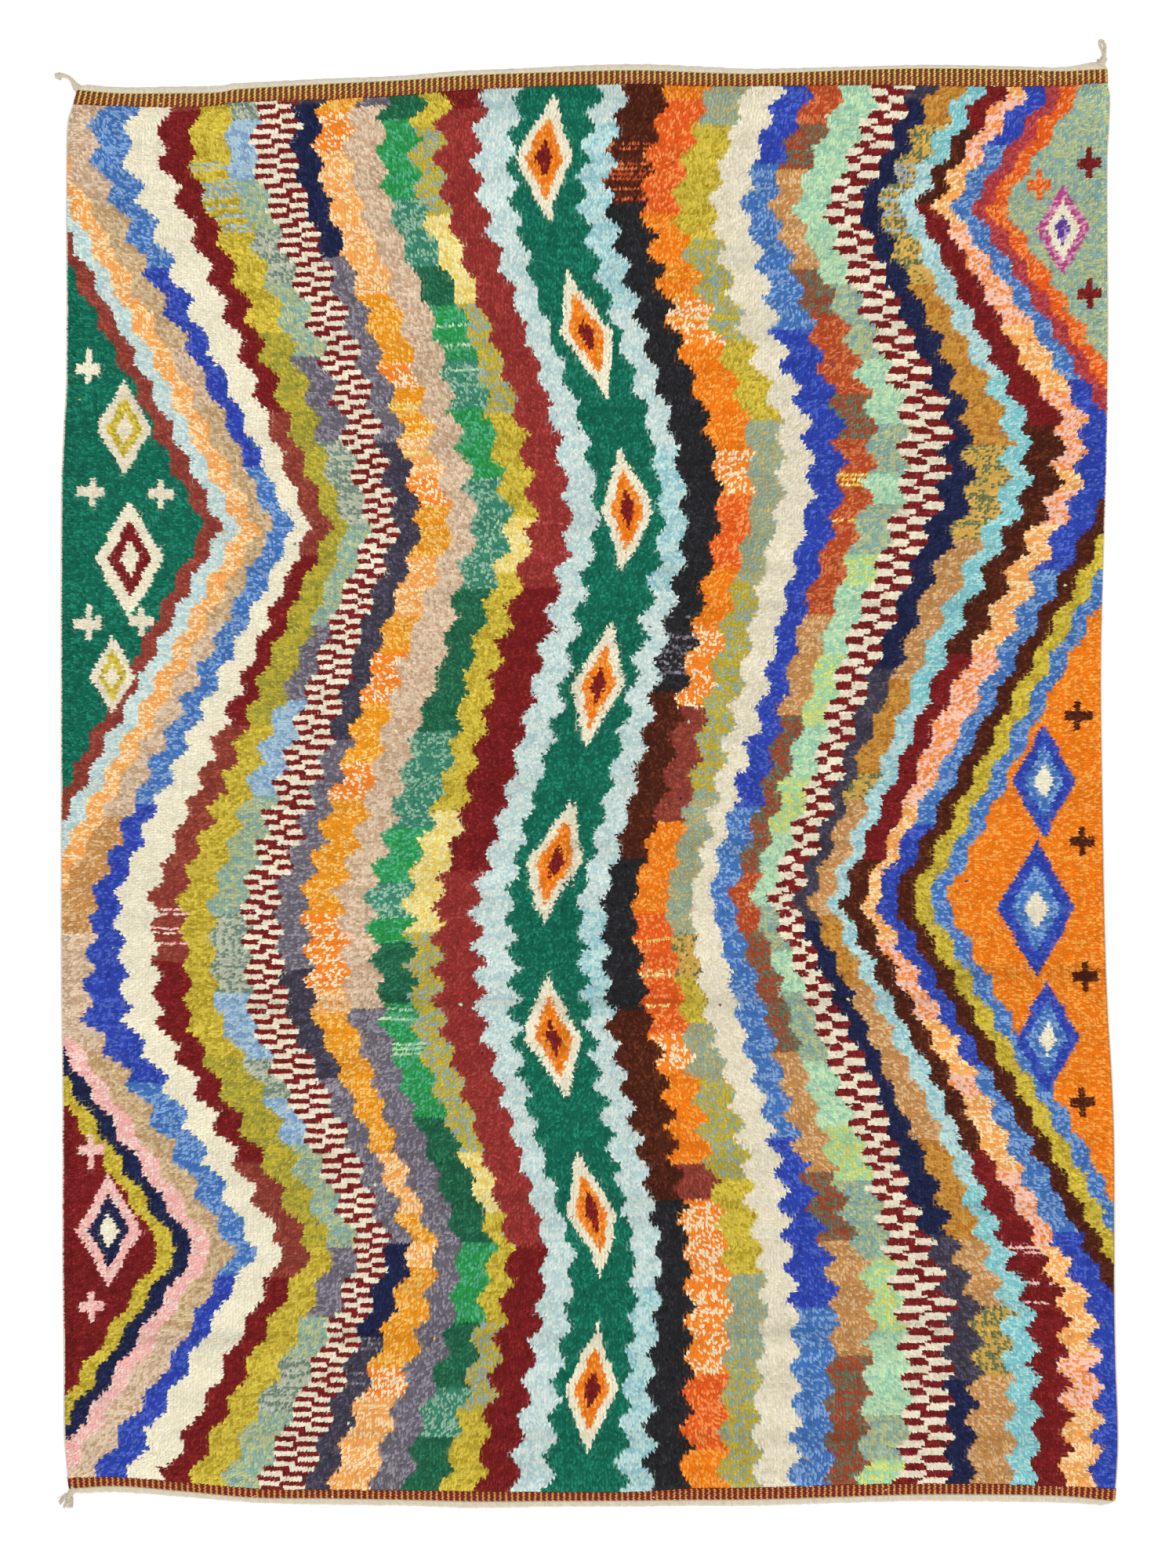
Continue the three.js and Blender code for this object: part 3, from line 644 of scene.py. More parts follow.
def wool_material(name, colour, fibre_mm, bump_mm, sheen, tint, stranded=False):
    """Wool, rough and softly sheened. Its colour, the dye with its painted shade and light where that is
    None, is lightened and darkened by fibre noise, which in stranded wool runs along the strands and is as
    strong as the dye's alpha says."""
    material = bpy.data.materials.new(name)
    material.use_nodes = True
    nodes = material.node_tree.nodes
    links = material.node_tree.links
    shader = nodes["Principled BSDF"]
    shader.inputs["Roughness"].default_value = WOOL["roughness"]
    shader.inputs["Specular IOR Level"].default_value = WOOL["specular"]
    shader.inputs["Sheen Weight"].default_value = sheen
    shader.inputs["Sheen Roughness"].default_value = WOOL["sheen_roughness"]
    fibres = nodes.new("ShaderNodeTexNoise")
    fibres.inputs["Scale"].default_value = 1.0 / (fibre_mm * MM)
    fibres.inputs["Detail"].default_value = FIBRE_NOISE["detail"]
    fibres.inputs["Roughness"].default_value = FIBRE_NOISE["roughness"]
    lighter = nodes.new("ShaderNodeMapRange")
    lighter.inputs["From Min"].default_value = FIBRE_NOISE["darkest"]
    lighter.inputs["From Max"].default_value = FIBRE_NOISE["lightest"]
    lighter.inputs["To Min"].default_value = -tint
    lighter.inputs["To Max"].default_value = tint
    links.new(fibres.outputs["Fac"], lighter.inputs["Value"])
    shade = nodes.new("ShaderNodeMath")
    shade.operation = "MULTIPLY_ADD"
    links.new(lighter.outputs["Result"], shade.inputs[0])
    shade.inputs[1].default_value = 1.0
    shade.inputs[2].default_value = 1.0
    tinted = nodes.new("ShaderNodeVectorMath")
    tinted.operation = "SCALE"
    if colour is None:
        dye = nodes.new("ShaderNodeAttribute")
        dye.attribute_name = "DyeAndPaintedLight"
        links.new(dye.outputs["Color"], tinted.inputs[0])
    else:
        tinted.inputs[0].default_value = linear(colour)
    if stranded:
        strand = nodes.new("ShaderNodeAttribute")
        strand.attribute_name = "Strand"
        links.new(strand.outputs["Vector"], fibres.inputs["Vector"])
        links.new(dye.outputs["Alpha"], shade.inputs[1])
    else:
        place = nodes.new("ShaderNodeTexCoord")
        links.new(place.outputs["Object"], fibres.inputs["Vector"])
    links.new(shade.outputs["Value"], tinted.inputs["Scale"])
    links.new(tinted.outputs["Vector"], shader.inputs["Base Color"])
    bump = nodes.new("ShaderNodeBump")
    bump.inputs["Strength"].default_value = WOOL["raised"]
    bump.inputs["Distance"].default_value = bump_mm * MM
    links.new(fibres.outputs["Fac"], bump.inputs["Height"])
    links.new(bump.outputs["Normal"], shader.inputs["Normal"])
    return material


# the fibre noise is this much longer than wide
STRAND_STRETCH = 6.0
pile_wool = wool_material(
    "pile wool", None, fibre_mm=4.5, bump_mm=0.4, sheen=0.03, tint=0.20, stranded=True
)

across = rim_stations(**GROUND_ACROSS)
up_length = rim_stations(**GROUND_UP)
columns, rows = len(across), len(up_length)
u, v = (grid.ravel() for grid in np.meshgrid(across, up_length))
x, y = pile_place(u, v)
mat_top = np.stack([x, y, np.maximum(pile_top(x, y) - GROUND_BELOW_TIPS, GROUND_LOWEST)], 1)
order = np.arange(columns * rows).reshape(rows, columns)
rim = np.concatenate([order[0, :-1], order[:-1, -1], order[-1, :0:-1], order[:0:-1, 0]])
below = len(mat_top) + np.arange(len(rim))
middle = len(mat_top) + len(rim)
top_faces = grid_faces(rows, columns)
wall_faces = np.stack([rim, below, np.roll(below, -1), np.roll(rim, -1)], 1)
back_faces = np.stack([np.full(len(rim), middle), np.roll(below, -1), below], 1)
points = np.concatenate([mat_top, mat_top[rim] * (1.0, 1.0, 0.0), [[0.0, 0.0, 0.0]]])
round_rim = np.arange(len(rim) + 1) / len(rim)
ground_maps = [
    on_map(u[top_faces], v[top_faces], TOP_ON_MAP),
    on_map(
        np.stack([round_rim[:-1], round_rim[:-1], round_rim[1:], round_rim[1:]], 1),
        np.broadcast_to([1.0, 0.0, 0.0, 1.0], wall_faces.shape),
        WALL_ON_MAP,
    ),
    on_map(
        np.stack([np.full(len(rim), 0.5), np.roll(u[rim], -1), u[rim]], 1),
        np.stack([np.full(len(rim), 0.5), np.roll(v[rim], -1), v[rim]], 1),
        BACK_ON_MAP,
    ),
]
ground_u = np.concatenate([u, u[rim], [0.5]])
ground_v = np.concatenate([v, v[rim], [0.5]])
yarn, row, _ = knotted_yarn(ground_u, ground_v)
# a draw of 1 shows no flecks
no_flecks = np.ones(len(ground_u))
# the mat's colour is its dye with painted shade from the folds and from the tips above it
ground_colours = dyed_and_fold_shaded(yarn, row, *pile_place(ground_u, ground_v), no_flecks) * GROUND_PAINTED_SHADE
ground = new_piece(
    "pile_ground",
    points,
    [top_faces, wall_faces, back_faces],
    ground_maps,
    pile_wool,
    ground_colours,
    points / (1.0, STRAND_STRETCH, 1.0),
)
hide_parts("pile_field")


# Pile: its locks
# Each knot is a tuft of two cut locks of soft wool. They lean every way in the middle of the rug and
# outwards round it, and they part and crowd together. A lock is a narrow kite with a raised ridge, its
# colour painted darker down in the pile as painted shade and lighter at its tip as painted light.
LOCK_ROWS = 2 * KNOT_ROWS
# the locks are too many for one piece
LOCK_PIECES = 5
LOCK_LENGTH = {"mean": 14.5, "spread": 1.8, "least": 6.0}
LOCK_WIDTH = {"mean": 7.9, "spread": 1.1, "least": 3.0}
# how far a lock stands off its even place, at most
LOCK_SHIFT = 1.7
# along the lock from its root to its tip, below the top of the pile, and its painted shade and painted light
LOCK_ROOT = {"along": -0.30, "below": 3.5, "light": 0.70}
LOCK_MIDDLE = {"along": 0.15, "below": 2.8, "light": 0.95}
LOCK_TIP = {"along": 0.70, "below": 0.9, "light": 1.18}
# a lock's corners: its root, the two sides of its middle and its tip, and their share of its width aside
LOCK_CORNERS = (LOCK_ROOT, LOCK_MIDDLE, LOCK_MIDDLE, LOCK_TIP)
LOCK_SIDES = (0.0, 0.5, -0.5, 0.0)
# how much higher or lower than that a tip stands, at most
TIP_SPREAD = 0.55
# the slope of the pile under a lock is taken over this much to either side
SLOPE_STEP = 4.0
# the locks are scattered over the fibre noise, so that each shows a part of its own
NOISE_SCATTER = 1000.0
# the lean runs mostly across the rug: lengthwise it counts by this share
LEAN_ALONG = 0.55
# how far it strays in degrees, in clumps and from lock to lock
LEAN_CLUMPS = 22.0
LEAN_CLUMP_SIZE = 120.0
LEAN_SPREAD = 14.0
# how much further they stray in the middle of the rug, in degrees, and how far out that reaches
STANDING = {"spread": 70.0, "reach": 450.0}
# how much the locks' colour varies: in clumps as painted shade of the pile crowding and parting, and from
# lock to lock as a random tone
SHADE_CLUMPS = 0.05
SHADE_CLUMP_SIZE = 42.0
SHADE_SPREAD = 0.09
# pale wool scatters light into its own shadows, so the painted shade and light are weaker in it: how strong
# they are in dark wool, how much weaker in the palest, and how much stronger again in wool that is nearly
# as dark as the last figure
CONTRAST = {"dark": 1.35, "less_when_pale": 1.25, "more_when_black": 1.1, "black": 0.05}
# the share of locks that stray in from another yarn
STRAY_SHARE = 0.0003
CHECK_WIDTH = 1.45
CHECK_SPREAD = 0.45
# how far the locks may hang over the selvedges and the end bands, how much further over the right one
# towards its upper end, and how much that wanders, in clumps and from lock to lock
PAST_RIM = {
    "left": 5.0, "right": 2.8, "right_rise": 2.6, "rise_length": 3800.0, "end": 1.0,
    "clump": 1.2, "clump_size": 34.0, "spread": 0.9, "most": 2.4,
}
# clumps are a sum of waves: how many, between which shares of the asked length, and where they start
CLUMP_WAVES = 6
CLUMP_LENGTHS = (0.6, 1.5)
CLUMP_STARTS = 6.28

comb = np.random.default_rng(23)


def clumps(x, y, size):
    """Mostly between -1 and 1: the sum of some sine waves of about the given length, each of which runs in
    a direction of its own that is drawn at random."""
    total = np.zeros_like(x)
    for _ in range(CLUMP_WAVES):
        turn = comb.uniform(0.0, 2.0 * math.pi)
        length = size * comb.uniform(*CLUMP_LENGTHS)
        start = comb.uniform(0.0, CLUMP_STARTS)
        total += np.sin(2.0 * math.pi * (x * math.cos(turn) + y * math.sin(turn)) / length + start)
    return total / math.sqrt(CLUMP_WAVES)


def within_rim(x, y, reach_x, reach_y):
    """The move that brings a lock back inside the rug's rim: by how far its outermost point lies past a
    line that wanders along the rim."""
    wander = PAST_RIM["clump"] * clumps(x, y, PAST_RIM["clump_size"])
    wander = wander + comb.normal(0.0, PAST_RIM["spread"], len(x))
    wander = np.clip(wander, -PAST_RIM["most"], PAST_RIM["most"])
    left = line_through(LEFT_EDGE, "y", "x", y) + SELVEDGE_WIDTH - PAST_RIM["left"] - wander
    rise = np.sin(math.pi * y / PAST_RIM["rise_length"])
    right_over = PAST_RIM["right"] + PAST_RIM["right_rise"] * rise
    right = line_through(RIGHT_EDGE, "y", "x", y) - SELVEDGE_WIDTH + right_over + wander
    top = line_through(TOP_END, "x", "pile", x) + PAST_RIM["end"] + wander
    bottom = line_through(BOTTOM_END, "x", "pile", x) - PAST_RIM["end"] - wander
    move_x = np.maximum(left - (x + reach_x.min(0)), 0.0) - np.maximum(x + reach_x.max(0) - right, 0.0)
    move_y = np.maximum(bottom - (y + reach_y.min(0)), 0.0) - np.maximum(y + reach_y.max(0) - top, 0.0)
    return move_x, move_y


column, row = (grid.ravel() for grid in np.meshgrid(np.arange(KNOT_COLUMNS), np.arange(LOCK_ROWS)))
locks = len(row)
u = (column + 0.5) / KNOT_COLUMNS
v = (row + 0.5) / LOCK_ROWS
x, y = pile_place(u, v)
yarn, knot_row, checked = knotted_yarn(u, v)
wool = dyed_and_fold_shaded(yarn, knot_row, x, y, comb.random(locks))
stray = comb.random(locks) < STRAY_SHARE
wool[stray] = YARN_MAIN[comb.integers(0, len(YARN_NAMES), stray.sum())]
paleness = wool.mean(1)
contrast = CONTRAST["dark"] - CONTRAST["less_when_pale"] * paleness
contrast += CONTRAST["more_when_black"] * np.exp(-paleness / CONTRAST["black"])
# painted shade of the pile crowding and parting in clumps, and a random tone from lock to lock
shade = SHADE_CLUMPS * clumps(x, y, SHADE_CLUMP_SIZE) + comb.normal(0.0, SHADE_SPREAD, locks)
wool *= (1.0 + contrast * shade)[:, None]
loose = np.where(checked, CHECK_SPREAD, 1.0)
standing = np.exp(-(x**2 + (LEAN_ALONG * y) ** 2) / STANDING["reach"] ** 2)
scatter = comb.normal(0.0, 1.0, locks) * (LEAN_SPREAD + STANDING["spread"] * standing)
scatter += LEAN_CLUMPS * clumps(x, y, LEAN_CLUMP_SIZE)
lean = np.arctan2(LEAN_ALONG * y, x) + np.radians(loose * scatter)
way = np.stack([np.cos(lean), np.sin(lean)])
side = np.stack([-way[1], way[0]])
length = comb.normal(LOCK_LENGTH["mean"], LOCK_LENGTH["spread"], locks)
length = np.maximum(length, LOCK_LENGTH["least"])
width = comb.normal(LOCK_WIDTH["mean"], LOCK_WIDTH["spread"], locks)
width = np.maximum(width, LOCK_WIDTH["least"]) * np.where(checked, CHECK_WIDTH, 1.0)
x = x + comb.uniform(-LOCK_SHIFT, LOCK_SHIFT, locks)
y = y + comb.uniform(-LOCK_SHIFT, LOCK_SHIFT, locks) * loose
along_way = np.stack([corner["along"] * length for corner in LOCK_CORNERS])
aside = np.stack([share * width for share in LOCK_SIDES])
reach_x = along_way * way[0] + aside * side[0]
reach_y = along_way * way[1] + aside * side[1]
move_x, move_y = within_rim(x, y, reach_x, reach_y)
x = x + move_x
y = y + move_y
slope_x = (pile_top(x + SLOPE_STEP, y) - pile_top(x - SLOPE_STEP, y)) / (2.0 * SLOPE_STEP)
slope_y = (pile_top(x, y + SLOPE_STEP) - pile_top(x, y - SLOPE_STEP)) / (2.0 * SLOPE_STEP)
tip_below = LOCK_TIP["below"] + comb.uniform(-TIP_SPREAD, TIP_SPREAD, locks)
below_top = np.stack([np.full(locks, corner["below"]) for corner in LOCK_CORNERS[:-1]] + [tip_below])
height = pile_top(x, y) + slope_x * reach_x + slope_y * reach_y - below_top
lock_points = np.stack([x + reach_x, y + reach_y, height], -1).transpose(1, 0, 2)
# painted shade at the root and middle of each lock and painted light at its tip, stronger in dark wool
lights = np.array([corner["light"] for corner in LOCK_CORNERS])
lock_colours = wool[:, None, :] * (1.0 + contrast[:, None] * (lights - 1.0))[..., None]
# the dye's alpha says how strongly the fibre noise shows in each lock
alpha = np.broadcast_to(contrast[:, None, None], (locks, len(LOCK_CORNERS), 1))
lock_colours = np.concatenate([lock_colours, alpha], -1)
across_strands = aside + NOISE_SCATTER * comb.random(locks)
along_strands = along_way / STRAND_STRETCH
lock_strands = np.stack([across_strands, along_strands, 0.0 * along_way], -1).transpose(1, 0, 2)

# root, left, right and tip: two faces above the ridge from root to tip, and two below
LOCK_FACES = np.array([[0, 2, 3], [0, 3, 1], [0, 1, 2], [3, 2, 1]])
# the square cell of a lock on the map is cut by its diagonals into its four faces
CELL = np.array(
    [
        [[0.0, 0.0], [1.0, 0.0], [0.5, 0.5]],
        [[1.0, 0.0], [1.0, 1.0], [0.5, 0.5]],
        [[1.0, 1.0], [0.0, 1.0], [0.5, 0.5]],
        [[0.0, 1.0], [0.0, 0.0], [0.5, 0.5]],
    ]
)


def cells_on_map(count, cell, part=(0.0, 0.0, 1.0, 1.0)):
    """One copy of the cell for each of count things, side by side in a square part of the map."""
    per_side = math.ceil(math.sqrt(count))
    k = np.arange(count)
    low = np.stack([k % per_side, k // per_side], 1)
    share = (low[:, None, None, :] + cell[None]) / per_side
    return on_map(share[..., 0], share[..., 1], part)


for k, chosen in enumerate(np.array_split(np.arange(locks), LOCK_PIECES)):
    corners = len(LOCK_CORNERS) * np.arange(len(chosen))
    faces = (LOCK_FACES[None] + corners[:, None, None]).reshape(-1, 3)
    piece = new_piece(
        f"pile_locks_{k + 1}",
        lock_points[chosen].reshape(-1, 3),
        [faces],
        [cells_on_map(len(chosen), CELL)],
        pile_wool,
        lock_colours[chosen].reshape(-1, 4),
        lock_strands[chosen].reshape(-1, 3),
        smooth_shading=False,
    )


# End bands
# Before and after the pile the weaver works a few picks of two wools by turns and beats them down hard,
# so that each wool stands as a narrow column of plump, slanting picks.
# pairs of columns from corner to corner, and the first wool's share of a pair
PAIRS = 181
FIRST_WOOL_SHARE = 0.41
# the share of picks that are missed, so that the pale warp shows
MISSED_PICKS = 0.003
WARP_COLOUR = "#E2DAC6"
# under the picks lies a thinner strip of the first wool, darkened by painted shade
BAND_BASE = 3.4
BAND_BASE_PAINTED_SHADE = 0.55
BAND_TOP = 5.0
STRIP_STATIONS = {"steps": 190, "rim": 0.004}
PICK_SIDES = 6
PICK_RISE = 1.7
LEAST_PICK_RISE = 0.75
PICK_OVERLAP = {"along": 1.2, "across": 1.1}
# every other pick of a column starts a little later, which gives it its toothed edges, and the second
# wool's picks lie a share of a pick further out than their even place, the first wool's further in
PICK_STEP = 0.7
SECOND_WOOL_OUT = 0.22
# how unevenly the picks lie, in millimetres and degrees, and how much their dye varies
PICK_SPREAD = {"x": 0.35, "y": 0.25, "slant": 5.0, "shade": 0.10}
# the share of the other lot in the second wool next to the pile, and how fast it falls outwards
NEAR_PILE = {"share": 1.3, "fall": 3.0}
PICKS_ON_MAP = (0.0, 0.0, 1.0, 0.86)
BASE_ON_MAP = (0.0, 0.88, 1.0, 1.0)
# a pick's painted shade at its two sunken ends and painted light round its middle
PICK_LIGHTS = np.array([0.72] * 2 + [1.04] * PICK_SIDES)
BANDS = [
    {
        "name": "band_top", "node": "end_band_top", "slot": "top_band_wool", "end": TOP_END, "picks": 8,
        "slant": 24.0, "first": "#913A33", "second": "#D8C85C", "second_near_pile": "#DFA548",
    },
    {
        "name": "band_bottom", "node": "end_band_bottom", "slot": "bottom_band_wool", "end": BOTTOM_END,
        "picks": 6, "slant": 8.0, "first": "#8A2428", "second": "#DFA552", "second_near_pile": "#D89C4C",
    },
]
# across the strip from its inner edge, and up as a share of its thickness
STRIP_SECTION = np.array([[0.0, 0.0], [1.0, 0.0], [1.0, 0.6], [0.8, 1.0], [0.2, 1.0], [0.0, 0.6]])
# at its corners the heading narrows to this share, over this length
CORNER_SHARE = 0.45
CORNER_REACH = 22.0
# how fast the drawn-in corners' pull on the columns dies away from them
CORNER_PULL = 12.0
weaver = np.random.default_rng(37)


def end_line(end, part, u):
    """x and y of one line of an end: the seam at the pile, the band's outer edge, or the heading's outer
    edge. u runs from corner to corner, and the drawn-in corners pull on it as u to a power does."""
    first, last = end["x"][0], end["x"][-1]
    x = first * (1.0 - u) + last * u
    seam = line_through(end, "x", "pile", x)
    drawn = {"seam": (0, 0), "band": (1, 0), "heading": (1, 1)}[part]
    left = drawn[0] * end["draw_in"]["band"][0] + drawn[1] * end["draw_in"]["heading"][0]
    right = drawn[0] * end["draw_in"]["band"][1] + drawn[1] * end["draw_in"]["heading"][1]
    from_corner = np.clip(np.minimum(x - first, last - x) / CORNER_REACH, 0.0, 1.0)
    narrowing = CORNER_SHARE + (1.0 - CORNER_SHARE) * np.sqrt(from_corner)
    out = SEAM_GAP if part == "seam" else line_through(end, "x", "band", x)
    if part == "heading":
        out = out + SEAM_GAP + line_through(end, "x", "heading", x) * narrowing
    return x + left * (1.0 - u) ** CORNER_PULL - right * u**CORNER_PULL, seam + end["outward"] * out


def tube(rings, part):
    """A closed skin over rings of points that all run the same way round, with a fan at each end. Gives
    its points, its faces, facing outwards, and their places on a part of the map: along by round."""
    count, sides = rings.shape[:2]
    points = np.concatenate([rings.reshape(-1, 3), rings[[0, -1]].mean(1)])
    j, i = (grid.ravel() for grid in np.meshgrid(np.arange(count - 1), np.arange(sides), indexing="ij"))
    after = (i + 1) % sides
    quads = np.stack([j * sides + i, j * sides + after, (j + 1) * sides + after, (j + 1) * sides + i], 1)
    k = np.arange(sides)
    last = (count - 1) * sides
    near = np.stack([np.full(sides, count * sides), (k + 1) % sides, k], 1)
    far = np.stack([np.full(sides, count * sides + 1), last + k, last + (k + 1) % sides], 1)
    fans = np.concatenate([near, far])
    # the fans take a sliver at each end of the map's part
    sliver = 0.004
    quad_u = sliver + (1.0 - 2.0 * sliver) * np.stack([j, j, j + 1, j + 1], 1) / (count - 1)
    quad_v = np.stack([i, i + 1, i + 1, i], 1) / sides
    near_u = np.tile([0.0, sliver, sliver], (sides, 1))
    far_u = np.tile([1.0, 1.0 - sliver, 1.0 - sliver], (sides, 1))
    near_v = np.stack([k + 0.5, k + 1.0, k + 0.0], 1) / sides
    far_v = np.stack([k + 0.5, k + 0.0, k + 1.0], 1) / sides
    fan_map = on_map(np.concatenate([near_u, far_u]), np.concatenate([near_v, far_v]), part)
    maps = [on_map(quad_u, quad_v, part), fan_map]
    triangles = np.concatenate([quads[:, [0, 1, 2]], quads[:, [0, 2, 3]], fans])
    a, b, c = (points[triangles[:, n]] - points[0] for n in range(3))
    if np.einsum("ij,ij->", a, np.cross(b, c)) < 0.0:
        return points, [quads[:, ::-1], fans[:, ::-1]], [m[:, ::-1] for m in maps]
    return points, [quads, fans], maps


def strip_rings(inner, outer, thickness, section):
    """Rings of a flat strip: each a section between a point of its inner line and one of its outer."""
    side, rise = section[:, 0], section[:, 1]
    x = inner[0][:, None] * (1.0 - side) + outer[0][:, None] * side
    y = inner[1][:, None] * (1.0 - side) + outer[1][:, None] * side
    return np.stack([x, y, rise * np.broadcast_to(thickness, (len(x), 1))], -1)


def plump_picks(x, y, z, angle, half_length, half_width, half_height):
    """Picks as spindles: two points at their ends, and a ring round their middles that starts half a side
    from flat."""
    way = np.stack([np.cos(angle), np.sin(angle)], 1)
    aside = np.stack([-way[:, 1], way[:, 0]], 1)
    centre = np.stack([x, y, np.full(len(x), z)], 1)
    turn = np.radians(360.0 / PICK_SIDES * (np.arange(PICK_SIDES) + 0.5))
    ring = np.zeros((len(x), PICK_SIDES, 3))
    ring[..., :2] = (half_width[:, None] * np.cos(turn))[..., None] * aside[:, None, :]
    ring[..., 2] = half_height[:, None] * np.sin(turn)
    ends = np.zeros((len(x), 2, 3))
    ends[:, 0, :2] = -half_length[:, None] * way
    ends[:, 1, :2] = half_length[:, None] * way
    return (centre[:, None, :] + np.concatenate([ends, ring], 1)).reshape(-1, 3)


around = np.arange(PICK_SIDES)
next_round = (around + 1) % PICK_SIDES
# a fan of faces at the far end of the spindle and one at its near end, and the same on its cell of the map
SPINDLE_FACES = np.concatenate(
    [
        np.stack([np.ones(PICK_SIDES, int), 2 + around, 2 + next_round], 1),
        np.stack([np.zeros(PICK_SIDES, int), 2 + next_round, 2 + around], 1),
    ]
)
far_fan = np.stack([around + 0.5, around, around + 1], 1) / PICK_SIDES
near_fan = np.stack([around + 0.5, around + 1, around], 1) / PICK_SIDES
SPINDLE_CELL = np.concatenate(
    [
        np.stack([far_fan, np.tile([1.0, 0.5, 0.5], (PICK_SIDES, 1))], -1),
        np.stack([near_fan, np.tile([0.0, 0.5, 0.5], (PICK_SIDES, 1))], -1),
    ]
)
band_wool = wool_material("band wool", None, fibre_mm=1.2, bump_mm=0.3, sheen=0.05, tint=0.10)

for band in BANDS:
    end = band["end"]
    u = rim_stations(**STRIP_STATIONS)
    rings = strip_rings(end_line(end, "seam", u), end_line(end, "band", u), BAND_BASE, STRIP_SECTION)
    base_points, base_faces, base_maps = tube(rings, BASE_ON_MAP)
    places = np.meshgrid(np.arange(2 * PAIRS), np.arange(band["picks"]))
    column, pick = (grid.ravel() for grid in places)
    count = len(pick)
    second = column % 2
    share = np.where(second == 1, 1.0 - FIRST_WOOL_SHARE, FIRST_WOOL_SHARE)
    middle = np.where(second == 1, (1.0 + FIRST_WOOL_SHARE) / 2.0, FIRST_WOOL_SHARE / 2.0)
    u = (column // 2 + middle) / PAIRS
    out = (pick + 0.5 + SECOND_WOOL_OUT * (2 * second - 1)) / band["picks"]
    seam_x, seam_y = end_line(end, "seam", u)
    edge_x, edge_y = end_line(end, "band", u)
    x = seam_x * (1.0 - out) + edge_x * out + PICK_STEP * (2 * (pick % 2) - 1)
    x = x + weaver.normal(0.0, PICK_SPREAD["x"], count)
    y = seam_y * (1.0 - out) + edge_y * out + weaver.normal(0.0, PICK_SPREAD["y"], count)
    pair_width = (end["x"][-1] - end["x"][0]) / PAIRS
    slant = np.radians(weaver.normal(band["slant"], PICK_SPREAD["slant"], count))
    half_length = 0.5 * pair_width * share / np.cos(slant) * PICK_OVERLAP["along"]
    half_width = 0.5 * np.abs(edge_y - seam_y) / band["picks"] * PICK_OVERLAP["across"]
    rise = weaver.uniform(LEAST_PICK_RISE, 1.0, count) * PICK_RISE
    picks = plump_picks(x, y, BAND_TOP - PICK_RISE, slant, half_length, half_width, rise)
    near_pile = np.clip(NEAR_PILE["share"] - NEAR_PILE["fall"] * out, 0.0, 1.0)[:, None]
    second_dye = linear(band["second"]) * (1.0 - near_pile) + linear(band["second_near_pile"]) * near_pile
    dye = np.where(second[:, None] == 1, second_dye, linear(band["first"]))
    dye[weaver.random(count) < MISSED_PICKS] = linear(WARP_COLOUR)
    dye = dye * (1.0 + weaver.normal(0.0, PICK_SPREAD["shade"], count)[:, None])
    # painted shade at the sunken ends of each pick and painted light round its middle
    pick_colours = (dye[:, None, :] * PICK_LIGHTS[None, :, None]).reshape(-1, 3)
    # the strip under the picks shows only between them: its first wool darkened by painted shade
    base_dye = np.broadcast_to(linear(band["first"]) * BAND_BASE_PAINTED_SHADE, base_points.shape)
    first_points = len(base_points) + (2 + PICK_SIDES) * np.arange(count)
    pick_faces = (SPINDLE_FACES[None] + first_points[:, None, None]).reshape(-1, 3)
    piece = new_piece(
        band["name"],
        np.concatenate([base_points, picks]),
        [*base_faces, pick_faces],
        [*base_maps, cells_on_map(count, SPINDLE_CELL, PICKS_ON_MAP)],
        band_wool,
        np.concatenate([base_dye, pick_colours]),
    )
    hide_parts(band["node"])


# Headings
# Outside each band a finger's width of plain undyed wool weave finishes the end. Its warps turn back
# and are sewn down, so it is a little puffy and its outer edge is scalloped.
HEADING_STATIONS = {"steps": 700, "rim": 0.002}
HEADING_THICKNESS = 4.6
# across the strip from its inner edge, and up as a share of its thickness
HEADING_SECTION = np.array(
    [[0.0, 0.0], [1.0, 0.0], [1.0, 0.5], [0.88, 0.88], [0.6, 1.0], [0.25, 0.94], [0.0, 0.55]]
)
# how much its thickness and its outer edge vary, and over what length
PUFF = {"share": 0.10, "length": 24.0}
SCALLOP = {"depth": 1.5, "length": 31.0}
# how much lighter or darker its single threads are, and how much darker it is over its sewn-down seam
THREAD_SHADE = 0.07
SEAM_SHADE = np.array([0.90, 1.0, 1.02, 1.0, 0.93, 1.0, 0.95])
HEADING_COLOUR = "#D2C7B2"
HEADINGS = [
    {"name": "heading_cloth_top", "node": "heading_top", "end": TOP_END},
    {"name": "heading_cloth_bottom", "node": "heading_bottom", "end": BOTTOM_END},
]
heading_wool = wool_material("heading wool", None, fibre_mm=2.2, bump_mm=0.6, sheen=0.05, tint=0.09)

